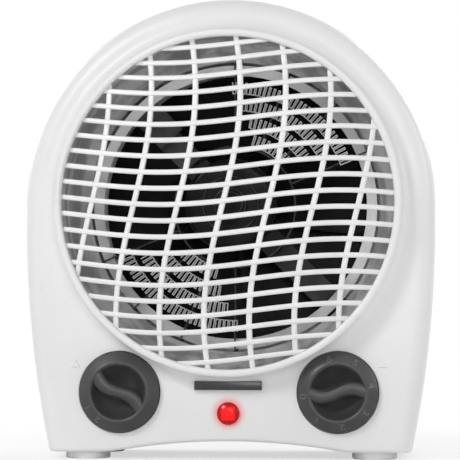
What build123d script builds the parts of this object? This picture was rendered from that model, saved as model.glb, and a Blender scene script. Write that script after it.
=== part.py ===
from build123d import *
from math import asin, cos, hypot, pi, radians, sin, sqrt
import os

# Upright fan heater. Millimetres. X to the viewer's right, the front faces -Y, Z up.
# The origin is on the floor, under the middle of the heater. "front_y" and "back_y" are
# places along Y, and radii of round parts are measured from the heater's fan axis.

# Body outline, seen from the front
arch_radius = 110.0
arch_centre_z = 136.5
straight_side = 11.0
side_radius = 586.0
foot_height = 3.8
underside_rise = 5.9
underside_half_span = 63.5
underside_blend = 60.0
lower_corner_round = 2.0
wall = 2.5

# Depths of the two shells, which meet at the seam
panel_y = -38.0
seam_y = 0.0
rear_y = 55.0
front_edge_round = 10.0
rear_edge_round = 16.0
seam_lip_height = 3.0
seam_lip_wall = 1.1

# Collar round the air outlet
opening_radius = 88.5
collar_height = 12.0
lip_thickness = 4.0
lip_round = 1.8
flank_radius = 7.5
lip_depth = 3.0

# Outlet grille: two families of S-shaped bars laid on a dome
grille_apex_y = -62.5
grille_rim_set_back = 3.0
rib_width = 2.7
rib_depth = 2.6
upright_width = 3.0
upright_depth = 2.8
upright_set_back = 0.7
rib_pitch = 8.54
rib_count_each_side = 10
rib_wave = 3.8
rib_wave_half = 95.0
rib_wave_start = 16.0
rib_lift = 2.2
upright_pitch = 23.9
upright_count_each_side = 3
upright_wave = 9.75
upright_wave_half = 122.6
upright_wave_start = -4.6
upright_shift = -2.0
wave_points = 9
grille_ring_width = 1.8
grille_ring_depth = 4.2

# Intake grille at the back
intake_radius = 76.0
intake_apex_y = 62.5
intake_ring_width = 4.0
intake_ring_depth = 1.2
intake_ring_overlap = 1.0
intake_tab_width = 8.0
intake_tab_sheet = 1.2
intake_tab_length = 3.0
intake_bar_width = 2.4
intake_bar_depth = 2.4
intake_rib_pitch = 11.0
intake_rib_count_each_side = 6
intake_upright_pitch = 26.0
intake_upright_count_each_side = 2

# Air duct of sheet metal
duct_sheet = 0.8
duct_cone_front_y = -16.0
duct_cone_back_y = 6.0
duct_rear_radius = 80.0
lug_angles = (0.0, 90.0, 180.0)
lug_reach = 98.5
lug_half_width = 5.0
lug_y = -22.0

# Heating element: mica plates in two opposite sectors, with corrugated ribbon in their notches
element_front_y = 6.0
element_depth = 18.0
ring_set_back = 2.0
ring_radius = 77.0
ring_flange = 3.3
ring_sheet = 0.8
mica_sheet = 0.8
inner_band_radius = 33.0
plate_angles = (22.5, 45.0, 67.5, 90.0)
sector_turn = 180.0
ribbon_radii = (38.0, 47.0, 56.0, 66.0)
ribbon_swing = 6.5
ribbon_sheet = 0.35
ribbon_width = 3.0
ribbon_fold_pitch = 5.0
ribbon_overhang = 4.0
notch_clearance = 0.4

# Thermal cut-out and fuse, held on the element ring in the open sector
cutout_angle = 133.0
cutout_radius = 6.0
cutout_depth = 7.0
cutout_bracket_width = 16.0
cutout_bracket_sheet = 0.8
cutout_place_radius = 66.0
cutout_inner_radius = 52.0
fuse_place_radius = 55.5
fuse_radius = 2.0
fuse_length = 12.0

# Motor on the fan axis
motor_radius = 18.0
motor_front_y = -12.0
motor_back_y = 26.0
can_wall = 1.0
end_bell_depth = 4.0
shaft_radius = 1.6
shaft_front_y = -16.0
shaft_back_y = 50.0
bush_radius = 3.5
bush_length = 4.0
magnet_thickness = 2.6
magnet_sweep = 130.0
magnet_margin = 3.0
air_gap = 0.6
core_margin = 5.0
core_teeth = 3
tooth_neck_width = 5.0
core_hub_radius = 4.5
tooth_tip_depth = 2.2
tooth_tip_sweep = 96.0
winding_wall = 1.6
commutator_radius = 4.2
commutator_length = 3.6
brush_width = 2.4
brush_height = 2.4
motor_screw_radius = 1.3
motor_screw_offset = 11.0
motor_screw_grip = 3.0

# Rectifier board and the cap in front of the motor
board_radius = 15.5
board_sheet = 1.6
diode_radius = 1.35
diode_length = 4.5
diode_offset = 9.0
cap_radius = 25.0
cap_front_y = -23.0
cap_back_y = -4.0
cap_wall = 1.4
cap_edge_round = 4.0
cap_step_radius = 15.0
cap_step_height = 1.2
cap_nose_radius = 8.5
cap_nose_height = 2.4
cap_dimple_radius = 6.5
cap_dimple_depth = 1.2

# Motor bracket behind the element
bracket_sheet = 1.2
bracket_arm_width = 14.0
bracket_arm_angle = 135.0
bracket_disc_radius = 17.0
bracket_shaft_hole = 5.0
bracket_tab = 9.0

# Fan
fan_front_y = 33.5
fan_depth = 14.0
fan_tip_radius = 72.0
fan_hub_radius = 13.0
fan_blades = 5
blade_sweep = 56.0
blade_sheet = 1.6
blade_stations = 4
blade_phase = 20.0
fan_clip_radius = 4.5
fan_clip_sheet = 1.0

# Knobs and their wells
knob_x = 58.3
knob_z = 35.8
well_radius = 22.0
well_wall = 2.0
well_depth = 8.0
knob_gap = 0.5
knob_floor_gap = 1.0
knob_height = 7.0
knob_cone = 1.4
knob_edge_round = 0.8
knob_shell = 1.8
bowl_radius = 15.0
bowl_depth = 7.5
grip_end_width = 6.2
grip_mid_width = 4.9
grip_wave = 1.3
knob_hub_radius = 5.0
mode_rest_angle = -38.0
thermostat_rest_angle = 1.0

# Controls behind the knobs
control_shaft_radius = 3.0
control_bush_radius = 4.0
shaft_flat = 0.7
mode_switch_radius = 14.0
mode_switch_depth = 16.0
thermostat_width = 30.0
thermostat_height = 20.0
bimetal_width = 8.0
bimetal_sheet = 1.0
bimetal_post = 6.0
shaft_stub = 9.0
terminal_width = 4.8
terminal_sheet = 0.8
terminal_length = 7.0
control_screw_offset = 12.0

# Pilot lamp
lamp_z = 24.5
lens_radius = 6.0
lens_rise = 1.8
lens_rim = 0.9
lens_body_radius = 5.0
lens_body_length = 6.0
lens_wall = 0.9
lamp_radius = 2.6
lamp_length = 12.0

# Supply: terminal block and cord gland
block_size = (20.0, 12.0, 11.0)
block_x = 40.0
block_y = 20.0
block_seat_z = 14.0
block_margin = 2.0
block_poles = 3
gland_x = 72.0
gland_z = 26.0
gland_radius = 6.0
gland_flange_radius = 8.5
gland_flange = 2.0
gland_tail_radius = 4.4
gland_inner_length = 8.0
gland_lock_radius = 7.2
gland_lock = 2.0
gland_bore_radius = 3.3

# Feet
foot_x = 77.3
foot_front_y = -22.0
foot_back_y = 39.0
foot_radius = 12.0
foot_edge_round = 1.0
foot_peg_radius = 4.0
foot_peg_length = 5.0

# Screws
screw_radius = 1.75
screw_head_radius = 3.4
screw_head_height = 2.2
screw_bite = 12.0
boss_wall = 2.2
boss_reach = 99.0
boss_arch_angles = (48.0, 132.0)
boss_low_x = 86.0
boss_low_z = 15.0
screw_seat_y = 14.0
small_screw_radius = 1.4
small_head_radius = 2.6
small_head_height = 1.8
small_screw_bite = 8.0

# Clearances
slip = 0.03
seat_gap = 0.2
fine = 0.1

# Values worked out from those above
lip_crest_y = panel_y - collar_height
lip_radius = opening_radius + lip_thickness
collar_foot_radius = lip_radius + flank_radius
shoulder_y = lip_crest_y + lip_depth
grille_rim_y = lip_crest_y + grille_rim_set_back
grille_rise = grille_rim_y - grille_apex_y
dome_radius = (opening_radius ** 2 + grille_rise ** 2) / (2 * grille_rise)
grille_ring_radius = opening_radius + grille_ring_width
grille_back_y = shoulder_y + grille_ring_depth
intake_rise = intake_apex_y - rear_y
intake_dome_radius = (intake_radius ** 2 + intake_rise ** 2) / (2 * intake_rise)
duct_front_radius = opening_radius + duct_sheet
ring_front_y = element_front_y + ring_set_back
element_back_y = element_front_y + element_depth
band_radius = ring_radius - ring_flange
notch_depth = ribbon_width + notch_clearance
notch_width = ribbon_swing + 2 * notch_clearance
bracket_y = motor_back_y
well_floor_y = panel_y + well_depth
knob_radius = well_radius - knob_gap
knob_back_y = well_floor_y - knob_floor_gap
knob_front_y = panel_y - knob_height
control_y = well_floor_y + wall
control_shaft_front_y = knob_front_y + bowl_depth + knob_shell
screw_hole_radius = screw_radius + slip
boss_radius = screw_radius + boss_wall
housing_boss_radius = screw_head_radius + boss_wall


def facing(y):
    """Plane at depth y, drawn in X and Z, whose normal points to the front."""
    return Plane(origin=(0, y, 0), x_dir=(1, 0, 0), z_dir=(0, -1, 0))


def slab(sketch, front_y, back_y):
    """Flat shape drawn in X and Z, given thickness between two depths."""
    return extrude(facing(back_y) * sketch, back_y - front_y)


def rod(x, z, radius, front_y, back_y):
    return slab(Pos(x, z) * Circle(radius), front_y, back_y)


def pipe(x, z, outer, inner, front_y, back_y):
    return slab(Pos(x, z) * (Circle(outer) - Circle(inner)), front_y, back_y)


def turned(x, z, profile):
    """Solid of revolution about the line along Y through x and z. The profile is drawn as (y, radius)."""
    half_plane = Plane(origin=(x, 0, z), x_dir=(0, 1, 0), z_dir=(1, 0, 0))
    return revolve(half_plane * profile, Axis((x, 0, z), (0, 1, 0)))


def polar(radius, angle):
    """Point at an angle about the fan axis, counted from +X towards +Z."""
    return (radius * cos(radians(angle)), arch_centre_z + radius * sin(radians(angle)))


def about_fan_axis(angle, shape):
    """Shape drawn at angle 0 about the fan axis, turned anticlockwise as seen from the front."""
    return Pos(0, 0, arch_centre_z) * Rot(0, -angle, 0) * Pos(0, 0, -arch_centre_z) * shape


def join(shapes):
    total = shapes[0]
    for shape in shapes[1:]:
        total += shape
    return total


# Body shells

def body_outline(inset, low_z):
    """Front outline: a round arch on short straight sides, over long arcs that draw in to the foot."""
    arch = arch_radius - inset
    side = side_radius - inset
    side_centre_x = arch_radius - side_radius
    side_top_z = arch_centre_z - straight_side
    sweep = asin((side_top_z - low_z) / side)
    foot = (side_centre_x + side * cos(sweep), low_z)
    middle = (side_centre_x + side * cos(sweep / 2), side_top_z - side * sin(sweep / 2))
    right_side = ThreePointArc(foot, middle, (arch, side_top_z))
    right_straight = Line((arch, side_top_z), (arch, arch_centre_z))
    top = ThreePointArc((arch, arch_centre_z), (0, arch_centre_z + arch), (-arch, arch_centre_z))
    left_straight = Line((-arch, arch_centre_z), (-arch, side_top_z))
    left_side = ThreePointArc((-arch, side_top_z), (-middle[0], middle[1]), (-foot[0], foot[1]))
    base = Line((-foot[0], foot[1]), foot)
    return make_face([right_side, right_straight, top, left_straight, left_side, base])


def below_underside(lift, front_y, back_y):
    """Block under the shallow arch of the underside, raised by a wall's thickness for the inside."""
    reach = arch_radius + wall
    floor_z = foot_height + lift
    low_z = -reach
    span = ThreePointArc(
        (underside_half_span, floor_z), (0, floor_z + underside_rise), (-underside_half_span, floor_z)
    )
    rest = Polyline(
        (-underside_half_span, floor_z), (-reach, floor_z), (-reach, low_z),
        (reach, low_z), (reach, floor_z), (underside_half_span, floor_z),
    )
    region = make_face([span, rest])
    ends = [v for v in region.vertices() if abs(abs(v.X) - underside_half_span) < fine]
    return slab(fillet(ends, underside_blend), front_y, back_y)


def body_layer(inset, front_y, back_y):
    """Solid body outline between two depths, drawn in by an inset all round."""
    outline = slab(body_outline(inset, 0), front_y, back_y)
    return outline - below_underside(inset, front_y - wall, back_y + wall)


def body_block(inset, end_y, edge_round):
    """Solid half of the body from the seam to end_y, its end rounded over along the sides and the arch."""
    front_y, back_y = sorted((end_y, seam_y))
    block = slab(body_outline(inset, 0), front_y, back_y)
    end_face = [f for f in block.faces() if abs(f.center().Y - end_y) < fine][0]
    rim = [e for e in end_face.edges() if e.center().Z > wall]
    block = fillet(rim, edge_round) - below_underside(inset, front_y - wall, back_y + wall)
    corners = [e for e in block.edges().filter_by(Axis.Y)
               if e.center().Z < foot_height + inset + fine and abs(e.center().X) > foot_x]
    return fillet(corners, lower_corner_round)


def body_shell(end_y, edge_round):
    inward = wall if end_y < seam_y else -wall
    return body_block(0, end_y, edge_round) - body_block(wall, end_y + inward, edge_round - wall)


def collar():
    """Lip round the air outlet: a rounded crest, a straight neck and a hollow flank down to the panel."""
    neck_y = panel_y - flank_radius
    back_y = panel_y + wall
    flank_middle = (
        neck_y + flank_radius * sin(pi / 4),
        collar_foot_radius - flank_radius * cos(pi / 4),
    )
    crest = Line((lip_crest_y, opening_radius), (lip_crest_y, lip_radius))
    neck = Line((lip_crest_y, lip_radius), (neck_y, lip_radius))
    flank = ThreePointArc((neck_y, lip_radius), flank_middle, (panel_y, collar_foot_radius))
    back = Polyline(
        (panel_y, collar_foot_radius), (back_y, collar_foot_radius),
        (back_y, opening_radius), (lip_crest_y, opening_radius),
    )
    profile = make_face([crest, neck, flank, back])
    corners = [v for v in profile.vertices() if abs(v.X - lip_crest_y) < fine]
    return turned(0, arch_centre_z, fillet(corners, lip_round))


def screw_places():
    """Places of the screws that hold the two shells together, in X and Z."""
    arch = [polar(boss_reach, angle) for angle in boss_arch_angles]
    return arch + [(boss_low_x, boss_low_z), (-boss_low_x, boss_low_z)]


def control_screw_places():
    return [(side * knob_x + shift, knob_z) for side in (-1, 1)
            for shift in (-control_screw_offset, control_screw_offset)]


def foot_places():
    return {
        "foot_front_left": (-foot_x, foot_front_y),
        "foot_front_right": (foot_x, foot_front_y),
        "foot_rear_left": (-foot_x, foot_back_y),
        "foot_rear_right": (foot_x, foot_back_y),
    }


def foot_hole(x, y):
    return Pos(x, y, foot_height + wall / 2) * Cylinder(foot_peg_radius + slip, 2 * wall)


def front_housing():
    inside_y = panel_y + wall
    shell = body_shell(panel_y, front_edge_round) + collar()
    for x in (-knob_x, knob_x):
        shell += rod(x, knob_z, well_radius + well_wall, panel_y, control_y)
    for x, z in screw_places():
        shell += rod(x, z, boss_radius, inside_y - fine, seam_y)
    for angle in lug_angles:
        x, z = polar(lug_reach, angle)
        shell += rod(x, z, boss_radius, inside_y - fine, lug_y)
        shell -= rod(x, z, small_screw_radius + slip, lug_y - small_screw_bite, lug_y + wall)
    shell -= rod(0, arch_centre_z, opening_radius, lip_crest_y - wall, shoulder_y + wall)
    shell -= rod(0, arch_centre_z, grille_ring_radius + seat_gap, shoulder_y, inside_y + wall)
    for x in (-knob_x, knob_x):
        shell -= rod(x, knob_z, well_radius, lip_crest_y, well_floor_y)
        shell -= rod(x, knob_z, control_bush_radius + fine, well_floor_y - wall, control_y + wall)
    for x, z in control_screw_places():
        shell -= rod(x, z, small_screw_radius + slip, well_floor_y - wall, control_y + wall)
    shell -= rod(0, lamp_z, lens_body_radius + slip, panel_y - wall, inside_y + wall)
    for x, z in screw_places():
        shell -= rod(x, z, screw_hole_radius, seam_y - screw_bite - wall, seam_y + wall)
    for x in (-foot_x, foot_x):
        shell -= foot_hole(x, foot_front_y)
    return shell


def seam_tongue():
    """Thin lip of the rear shell that enters the front shell and hides the seam."""
    inner = wall + seam_lip_wall
    root_end_y = seam_y + seam_lip_height
    tip = body_layer(wall + slip, seam_y - seam_lip_height, seam_y)
    root = body_layer(wall - fine, seam_y, root_end_y)
    return tip + root - body_layer(inner, seam_y - 2 * seam_lip_height, root_end_y + wall)


def block_seat():
    """Raised seat for the terminal block on the arched floor of the rear shell."""
    length, width, _ = block_size
    seat = Pos(block_x, block_y, block_seat_z / 2) * Box(length + block_margin, width + block_margin, block_seat_z)
    return seat - below_underside(wall / 2, seam_y, rear_y)


def rear_housing():
    inside_y = rear_y - wall
    shell = body_shell(rear_y, rear_edge_round) + seam_tongue() + block_seat()
    bosses = join([rod(x, z, housing_boss_radius, seam_y, rear_y) for x, z in screw_places()])
    shell += bosses & body_block(0, rear_y, rear_edge_round)
    for x, z in screw_places():
        shell -= rod(x, z, screw_hole_radius, seam_y - wall, rear_y)
        shell -= rod(x, z, screw_head_radius + seat_gap, screw_seat_y, rear_y + wall)
    shell -= rod(0, arch_centre_z, intake_radius, inside_y - wall, rear_y + wall)
    ring_radius_with_gap = intake_radius + intake_ring_width + slip
    shell -= rod(0, arch_centre_z, ring_radius_with_gap, rear_y - intake_ring_depth, rear_y + wall)
    shell -= rod(gland_x, gland_z, gland_radius + slip, inside_y - wall, rear_y + wall)
    for x in (-foot_x, foot_x):
        shell -= foot_hole(x, foot_back_y)
    return shell


# Grilles

def dome_layer(apex_y, radius_of_curve, towards, depth, set_back, reach):
    """Curved layer under a dome whose apex is at apex_y and whose hollow side lies in the direction towards."""
    centre_y = apex_y + towards * radius_of_curve
    outer = radius_of_curve - set_back
    place = Pos(0, centre_y, arch_centre_z)
    shell = place * Sphere(outer) - place * Sphere(outer - depth)
    far_y = apex_y + towards * (wall + depth + set_back + reach)
    front_y, back_y = sorted((apex_y - towards * wall, far_y))
    return shell & rod(0, arch_centre_z, reach, front_y, back_y)


def along_dome(step, curve_radius):
    """Distance from the fan axis of a bar laid off at a step measured along the dome."""
    return curve_radius * sin(step / curve_radius)


def wave_strip(offset, width, height, half_wave, start, reach):
    """S-shaped strip drawn along local X: a sine wave of the given height about an offset."""
    stations = [reach * (2 * i / (wave_points - 1) - 1) for i in range(wave_points)]
    middle = [offset + height * sin(pi * (s - start) / half_wave) for s in stations]
    upper = Spline([(s, m + width / 2) for s, m in zip(stations, middle)])
    lower = Spline([(s, m - width / 2) for s, m in zip(stations, middle)])
    return make_face([upper, Line(upper @ 1, lower @ 1), lower, Line(lower @ 0, upper @ 0)])


def front_grille():
    """S-shaped ribs and uprights on a dome, run into a rim ring that sits behind the collar's lip."""
    reach = opening_radius + grille_ring_width / 2
    ribs = []
    for index in range(-rib_count_each_side, rib_count_each_side + 1):
        height = along_dome(index * rib_pitch, dome_radius) + rib_lift
        strip = wave_strip(height, rib_width, rib_wave, rib_wave_half, rib_wave_start, reach)
        ribs.append(slab(Pos(0, arch_centre_z) * strip, grille_apex_y - wall, panel_y))
    uprights = []
    for index in range(-upright_count_each_side, upright_count_each_side + 1):
        shift = along_dome(index * upright_pitch, dome_radius) + upright_shift
        strip = wave_strip(-shift, upright_width, -upright_wave, upright_wave_half, upright_wave_start, reach)
        uprights.append(slab(Pos(0, arch_centre_z) * Rot(0, 0, 90) * strip, grille_apex_y - wall, panel_y))
    rib_layer = dome_layer(grille_apex_y, dome_radius, 1, rib_depth, 0, reach)
    upright_layer = dome_layer(grille_apex_y, dome_radius, 1, upright_depth, upright_set_back, reach)
    ring = pipe(0, arch_centre_z, grille_ring_radius, opening_radius, shoulder_y, grille_back_y)
    rib_set = [rib & rib_layer for rib in ribs]
    upright_set = [upright & upright_layer for upright in uprights]
    return join(upright_set + rib_set) + ring


def rear_grille():
    """Straight bars on a shallow dome in a rim ring, with legs that grip the edge of the intake hole."""
    reach = intake_radius - slip
    span = 2 * intake_radius
    sketch = Sketch()
    for index in range(-intake_rib_count_each_side, intake_rib_count_each_side + 1):
        sketch += Pos(0, arch_centre_z + index * intake_rib_pitch) * Rectangle(span, intake_bar_width)
    for index in range(-intake_upright_count_each_side, intake_upright_count_each_side + 1):
        sketch += Pos(index * intake_upright_pitch, arch_centre_z) * Rectangle(intake_bar_width, span)
    layer = dome_layer(intake_apex_y, intake_dome_radius, -1, intake_bar_depth, 0, reach)
    bars = slab(sketch, rear_y - intake_rise, intake_apex_y + wall) & layer
    ring = pipe(0, arch_centre_z, intake_radius + intake_ring_width, intake_radius - intake_ring_overlap,
                rear_y - intake_ring_depth, rear_y)
    legs = pipe(0, arch_centre_z, intake_radius - slip, intake_radius - intake_tab_sheet,
                rear_y - intake_ring_depth - intake_tab_length, rear_y)
    cross = Rectangle(span, intake_tab_width) + Rectangle(intake_tab_width, span)
    legs &= slab(Pos(0, arch_centre_z) * cross, rear_y - intake_rise, rear_y)
    return bars + ring + legs


# Air duct and heating element

def air_duct():
    """Sheet-metal duct that narrows from the outlet to the element, with screw lugs at the front."""
    front_y = grille_back_y
    back_y = rear_y - wall
    profile = make_face(Polyline(
        (front_y, opening_radius), (front_y, duct_front_radius), (duct_cone_front_y, duct_front_radius),
        (duct_cone_back_y, duct_rear_radius + duct_sheet), (back_y, duct_rear_radius + duct_sheet),
        (back_y, duct_rear_radius), (duct_cone_back_y, duct_rear_radius),
        (duct_cone_front_y, opening_radius), close=True,
    ))
    duct = turned(0, arch_centre_z, profile)
    lug_length = lug_reach - opening_radius
    strip = Pos(opening_radius + lug_length / 2, 0) * Rectangle(lug_length, 2 * lug_half_width)
    strip += Pos(lug_reach, 0) * Circle(lug_half_width)
    strip -= Pos(lug_reach, 0) * Circle(small_screw_radius + slip)
    strip -= Circle(opening_radius + duct_sheet / 2)
    lug = slab(Pos(0, arch_centre_z) * strip, lug_y, lug_y + duct_sheet)
    for angle in lug_angles:
        duct += about_fan_axis(angle, lug)
    for angle in (bracket_arm_angle, bracket_arm_angle + sector_turn):
        duct -= about_fan_axis(angle, radial_rod(small_screw_radius + slip, bracket_disc_radius, arch_radius))
    return duct


def radial_rod(radius, inner, outer):
    """Round bar along X from the fan axis, at the depth of the motor bracket's screws."""
    middle_y = bracket_y + bracket_tab / 2
    return Pos((inner + outer) / 2, middle_y, arch_centre_z) * Rot(0, 90, 0) * Cylinder(radius, outer - inner)


def plate_angle_list():
    return [angle + turn for turn in (0, sector_turn) for angle in plate_angles]


def element_ring():
    """Flanged ring that carries the mica plates in slots cut from both of its edges."""
    front_y = ring_front_y
    profile = make_face(Polyline(
        (front_y, band_radius), (front_y, ring_radius), (element_back_y, ring_radius),
        (element_back_y, ring_radius - ring_sheet), (front_y + ring_sheet, ring_radius - ring_sheet),
        (front_y + ring_sheet, band_radius), close=True,
    ))
    ring = turned(0, arch_centre_z, profile)
    slot_front, slot_back = plate_window()
    slot = Rectangle(2 * ring_flange + duct_rear_radius - band_radius, mica_sheet + 2 * slip)
    cutter = Pos((band_radius + duct_rear_radius) / 2, arch_centre_z) * slot
    cut = slab(cutter, element_front_y, slot_front) + slab(cutter, slot_back, element_back_y + wall)
    for angle in plate_angle_list():
        ring -= about_fan_axis(angle, cut)
    return ring


def plate_window():
    """Depths between which a mica plate's outer edge is cut back, so that the ring stays whole."""
    middle_y = (element_front_y + element_back_y) / 2
    return middle_y - element_depth / 6, middle_y + element_depth / 6


def mica_plates():
    """Radial plates with notches in the front edge for the ribbon and a window round the ring."""
    inner = inner_band_radius + mica_sheet + slip
    outer = duct_rear_radius - seat_gap
    plate = Pos((inner + outer) / 2, (element_front_y + element_back_y) / 2) * Rectangle(outer - inner, element_depth)
    for radius in ribbon_radii:
        plate -= Pos(radius, element_front_y + notch_depth / 2) * Rectangle(notch_width, notch_depth)
    slot_front, slot_back = plate_window()
    window_inner = ring_radius - ring_sheet - slip
    window = Rectangle(outer - window_inner + wall, slot_back - slot_front + 2 * slip)
    plate -= Pos(window_inner + (outer - window_inner + wall) / 2, (slot_front + slot_back) / 2) * window
    solid = Pos(0, 0, arch_centre_z - mica_sheet / 2) * extrude(plate, mica_sheet)
    return join([about_fan_axis(angle, solid) for angle in plate_angle_list()])


def mica_inner_band():
    outer = inner_band_radius + mica_sheet
    return pipe(0, arch_centre_z, outer, inner_band_radius, element_front_y, element_back_y)


def ribbon_row(radius):
    """One row of folded ribbon across a sector, with its ends hanging out beyond the last plates."""
    overhang = ribbon_overhang / radius
    start = radians(plate_angles[0]) - overhang
    end = radians(plate_angles[-1]) + overhang
    folds = 2 * round((end - start) * radius / ribbon_fold_pitch)
    fold_length = hypot(ribbon_swing, ribbon_fold_pitch / 2)
    radial_sheet = ribbon_sheet * fold_length / (ribbon_fold_pitch / 2)

    def edge(shift):
        points = []
        for index in range(folds + 1):
            angle = start + (end - start) * index / folds
            reach = radius + (ribbon_swing - radial_sheet) / 2 * (-1) ** index + shift
            points.append((reach * cos(angle), arch_centre_z + reach * sin(angle)))
        return points

    outline = make_face(Polyline(*edge(-radial_sheet / 2), *reversed(edge(radial_sheet / 2)), close=True))
    back_y = element_front_y + notch_depth
    return slab(outline, back_y - ribbon_width, back_y)


def ribbon(turn):
    return about_fan_axis(turn, join([ribbon_row(radius) for radius in ribbon_radii]))


def cutout_bracket():
    """Metal strip from the element ring into the air stream of an open sector."""
    outer = ring_radius - ring_sheet - slip
    front_y = ring_front_y + ring_sheet
    back_y = front_y + cutout_bracket_sheet
    strip = Pos(cutout_inner_radius + arch_radius / 2, arch_centre_z) * Rectangle(arch_radius, cutout_bracket_width)
    limited = slab(strip, front_y, back_y) & rod(0, arch_centre_z, outer, front_y, back_y)
    return about_fan_axis(cutout_angle, limited)


def cutout_back_y():
    return ring_front_y + ring_sheet + cutout_bracket_sheet


def thermal_cutout():
    """Round bimetal cut-out on the bracket, with two blade terminals."""
    front_y = cutout_back_y()
    body = rod(cutout_place_radius, arch_centre_z, cutout_radius, front_y, front_y + cutout_depth)
    blade = Rectangle(terminal_sheet, terminal_width)
    for side in (-1, 1):
        place = Pos(cutout_place_radius + side * cutout_radius / 2, arch_centre_z)
        body += slab(place * blade, front_y + cutout_depth, front_y + cutout_depth + terminal_length)
    return about_fan_axis(cutout_angle, body)


def thermal_fuse():
    fuse = Pos(fuse_place_radius, cutout_back_y() + fuse_radius, arch_centre_z) * Cylinder(fuse_radius, fuse_length)
    return about_fan_axis(cutout_angle, fuse)


# Motor

def on_axis(radius, front_y, back_y):
    return rod(0, arch_centre_z, radius, front_y, back_y)


def sleeve(outer, inner, front_y, back_y):
    return pipe(0, arch_centre_z, outer, inner, front_y, back_y)


def motor_screw_cut(front_y, back_y, radius):
    return join([rod(side * motor_screw_offset, arch_centre_z, radius, front_y, back_y) for side in (-1, 1)])


def motor_can():
    can = on_axis(motor_radius, motor_front_y, motor_back_y)
    can -= on_axis(motor_radius - can_wall, motor_front_y - wall, motor_back_y - can_wall)
    can -= on_axis(bush_radius, motor_back_y - wall, motor_back_y + wall)
    return can - motor_screw_cut(motor_back_y - wall, motor_back_y + wall, motor_screw_radius + slip)


def motor_end_bell():
    bell = sleeve(motor_radius - can_wall, bush_radius, motor_front_y, motor_front_y + end_bell_depth)
    return bell


def motor_bushes():
    front_y = motor_front_y + end_bell_depth / 2
    bore = shaft_radius + slip
    front = sleeve(bush_radius, bore, front_y - bush_length / 2 - can_wall, front_y + bush_length / 2 - can_wall)
    back = sleeve(bush_radius, bore, motor_back_y - bush_length, motor_back_y + can_wall)
    return front + back


def magnet_span():
    return motor_front_y + end_bell_depth + magnet_margin, motor_back_y - can_wall - magnet_margin


def motor_magnets():
    front_y, back_y = magnet_span()
    outer = motor_radius - can_wall
    ring = sleeve(outer, outer - magnet_thickness, front_y, back_y)
    half = radians(magnet_sweep / 2)
    reach = 2 * outer / cos(half)
    wedge = make_face(Polyline(
        (0, 0), (reach * cos(half), reach * sin(half)), (reach * cos(half), -reach * sin(half)), close=True))
    magnets = [ring & slab(Pos(0, arch_centre_z) * Rot(0, 0, turn) * wedge, front_y, back_y) for turn in (0, 180)]
    return join(magnets)


def core_span():
    front_y, back_y = magnet_span()
    return front_y + core_margin, back_y - core_margin


def core_radius():
    return motor_radius - can_wall - magnet_thickness - air_gap


def armature_core():
    """Three-tooth laminated core: a hub, straight necks and curved tips, all on the shaft."""
    front_y, back_y = core_span()
    tip_radius = core_radius()
    hub = sleeve(core_hub_radius, shaft_radius, front_y, back_y)
    neck = Pos(tip_radius / 2, 0) * Rectangle(tip_radius - tooth_tip_depth / 2, tooth_neck_width)
    half = radians(tooth_tip_sweep / 2)
    reach = 2 * tip_radius
    wedge = make_face(Polyline(
        (0, 0), (reach * cos(half), reach * sin(half)), (reach * cos(half), -reach * sin(half)), close=True))
    tip = (Circle(tip_radius) - Circle(tip_radius - tooth_tip_depth)) & wedge
    tooth = slab(Pos(0, arch_centre_z) * (neck + tip), front_y, back_y)
    for index in range(core_teeth):
        hub += about_fan_axis(360 / core_teeth * index + 90, tooth)
    return hub - on_axis(shaft_radius, front_y - wall, back_y + wall)


def armature_winding():
    """Copper coil round each neck of the core."""
    front_y, back_y = core_span()
    inner = core_hub_radius + fine
    width = tooth_neck_width + 2 * winding_wall
    outer = sqrt((core_radius() - tooth_tip_depth) ** 2 - (width / 2) ** 2) - fine
    side = (outer - inner) / 2
    coil = Pos(inner + side, arch_centre_z) * Rectangle(outer - inner, width)
    hole = Pos(inner + side, arch_centre_z) * Rectangle(outer - inner + wall, tooth_neck_width)
    solid = slab(coil, front_y - winding_wall, back_y + winding_wall) - slab(hole, front_y, back_y)
    return join([about_fan_axis(360 / core_teeth * index + 90, solid) for index in range(core_teeth)])


def commutator_span():
    bell_back_y = motor_front_y + end_bell_depth
    return bell_back_y + fine, bell_back_y + fine + commutator_length


def commutator():
    front_y, back_y = commutator_span()
    return sleeve(commutator_radius, shaft_radius, front_y, back_y)


def motor_brushes():
    """Two carbon blocks that stand on the end bell, one each side of the commutator."""
    bell_back_y = motor_front_y + end_bell_depth
    inner = commutator_radius + fine
    block = Pos(inner + brush_width / 2, arch_centre_z) * Rectangle(brush_width, brush_height)
    solid = slab(block, bell_back_y, bell_back_y + commutator_length)
    return solid + about_fan_axis(180, solid)


def motor_shaft():
    return on_axis(shaft_radius, shaft_front_y, shaft_back_y)


def rectifier_board():
    """Round board with four diodes, fixed against the motor's end bell."""
    back_y = motor_front_y
    front_y = back_y - board_sheet
    board = sleeve(board_radius, bush_radius + seat_gap, front_y, back_y)
    for z_side in (-1, 1):
        for x_side in (-1, 1):
            place = Pos(x_side * diode_offset / 2, front_y - diode_radius, arch_centre_z + z_side * diode_offset)
            board += place * Rot(0, 90, 0) * Cylinder(diode_radius, diode_length)
    return board


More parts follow.
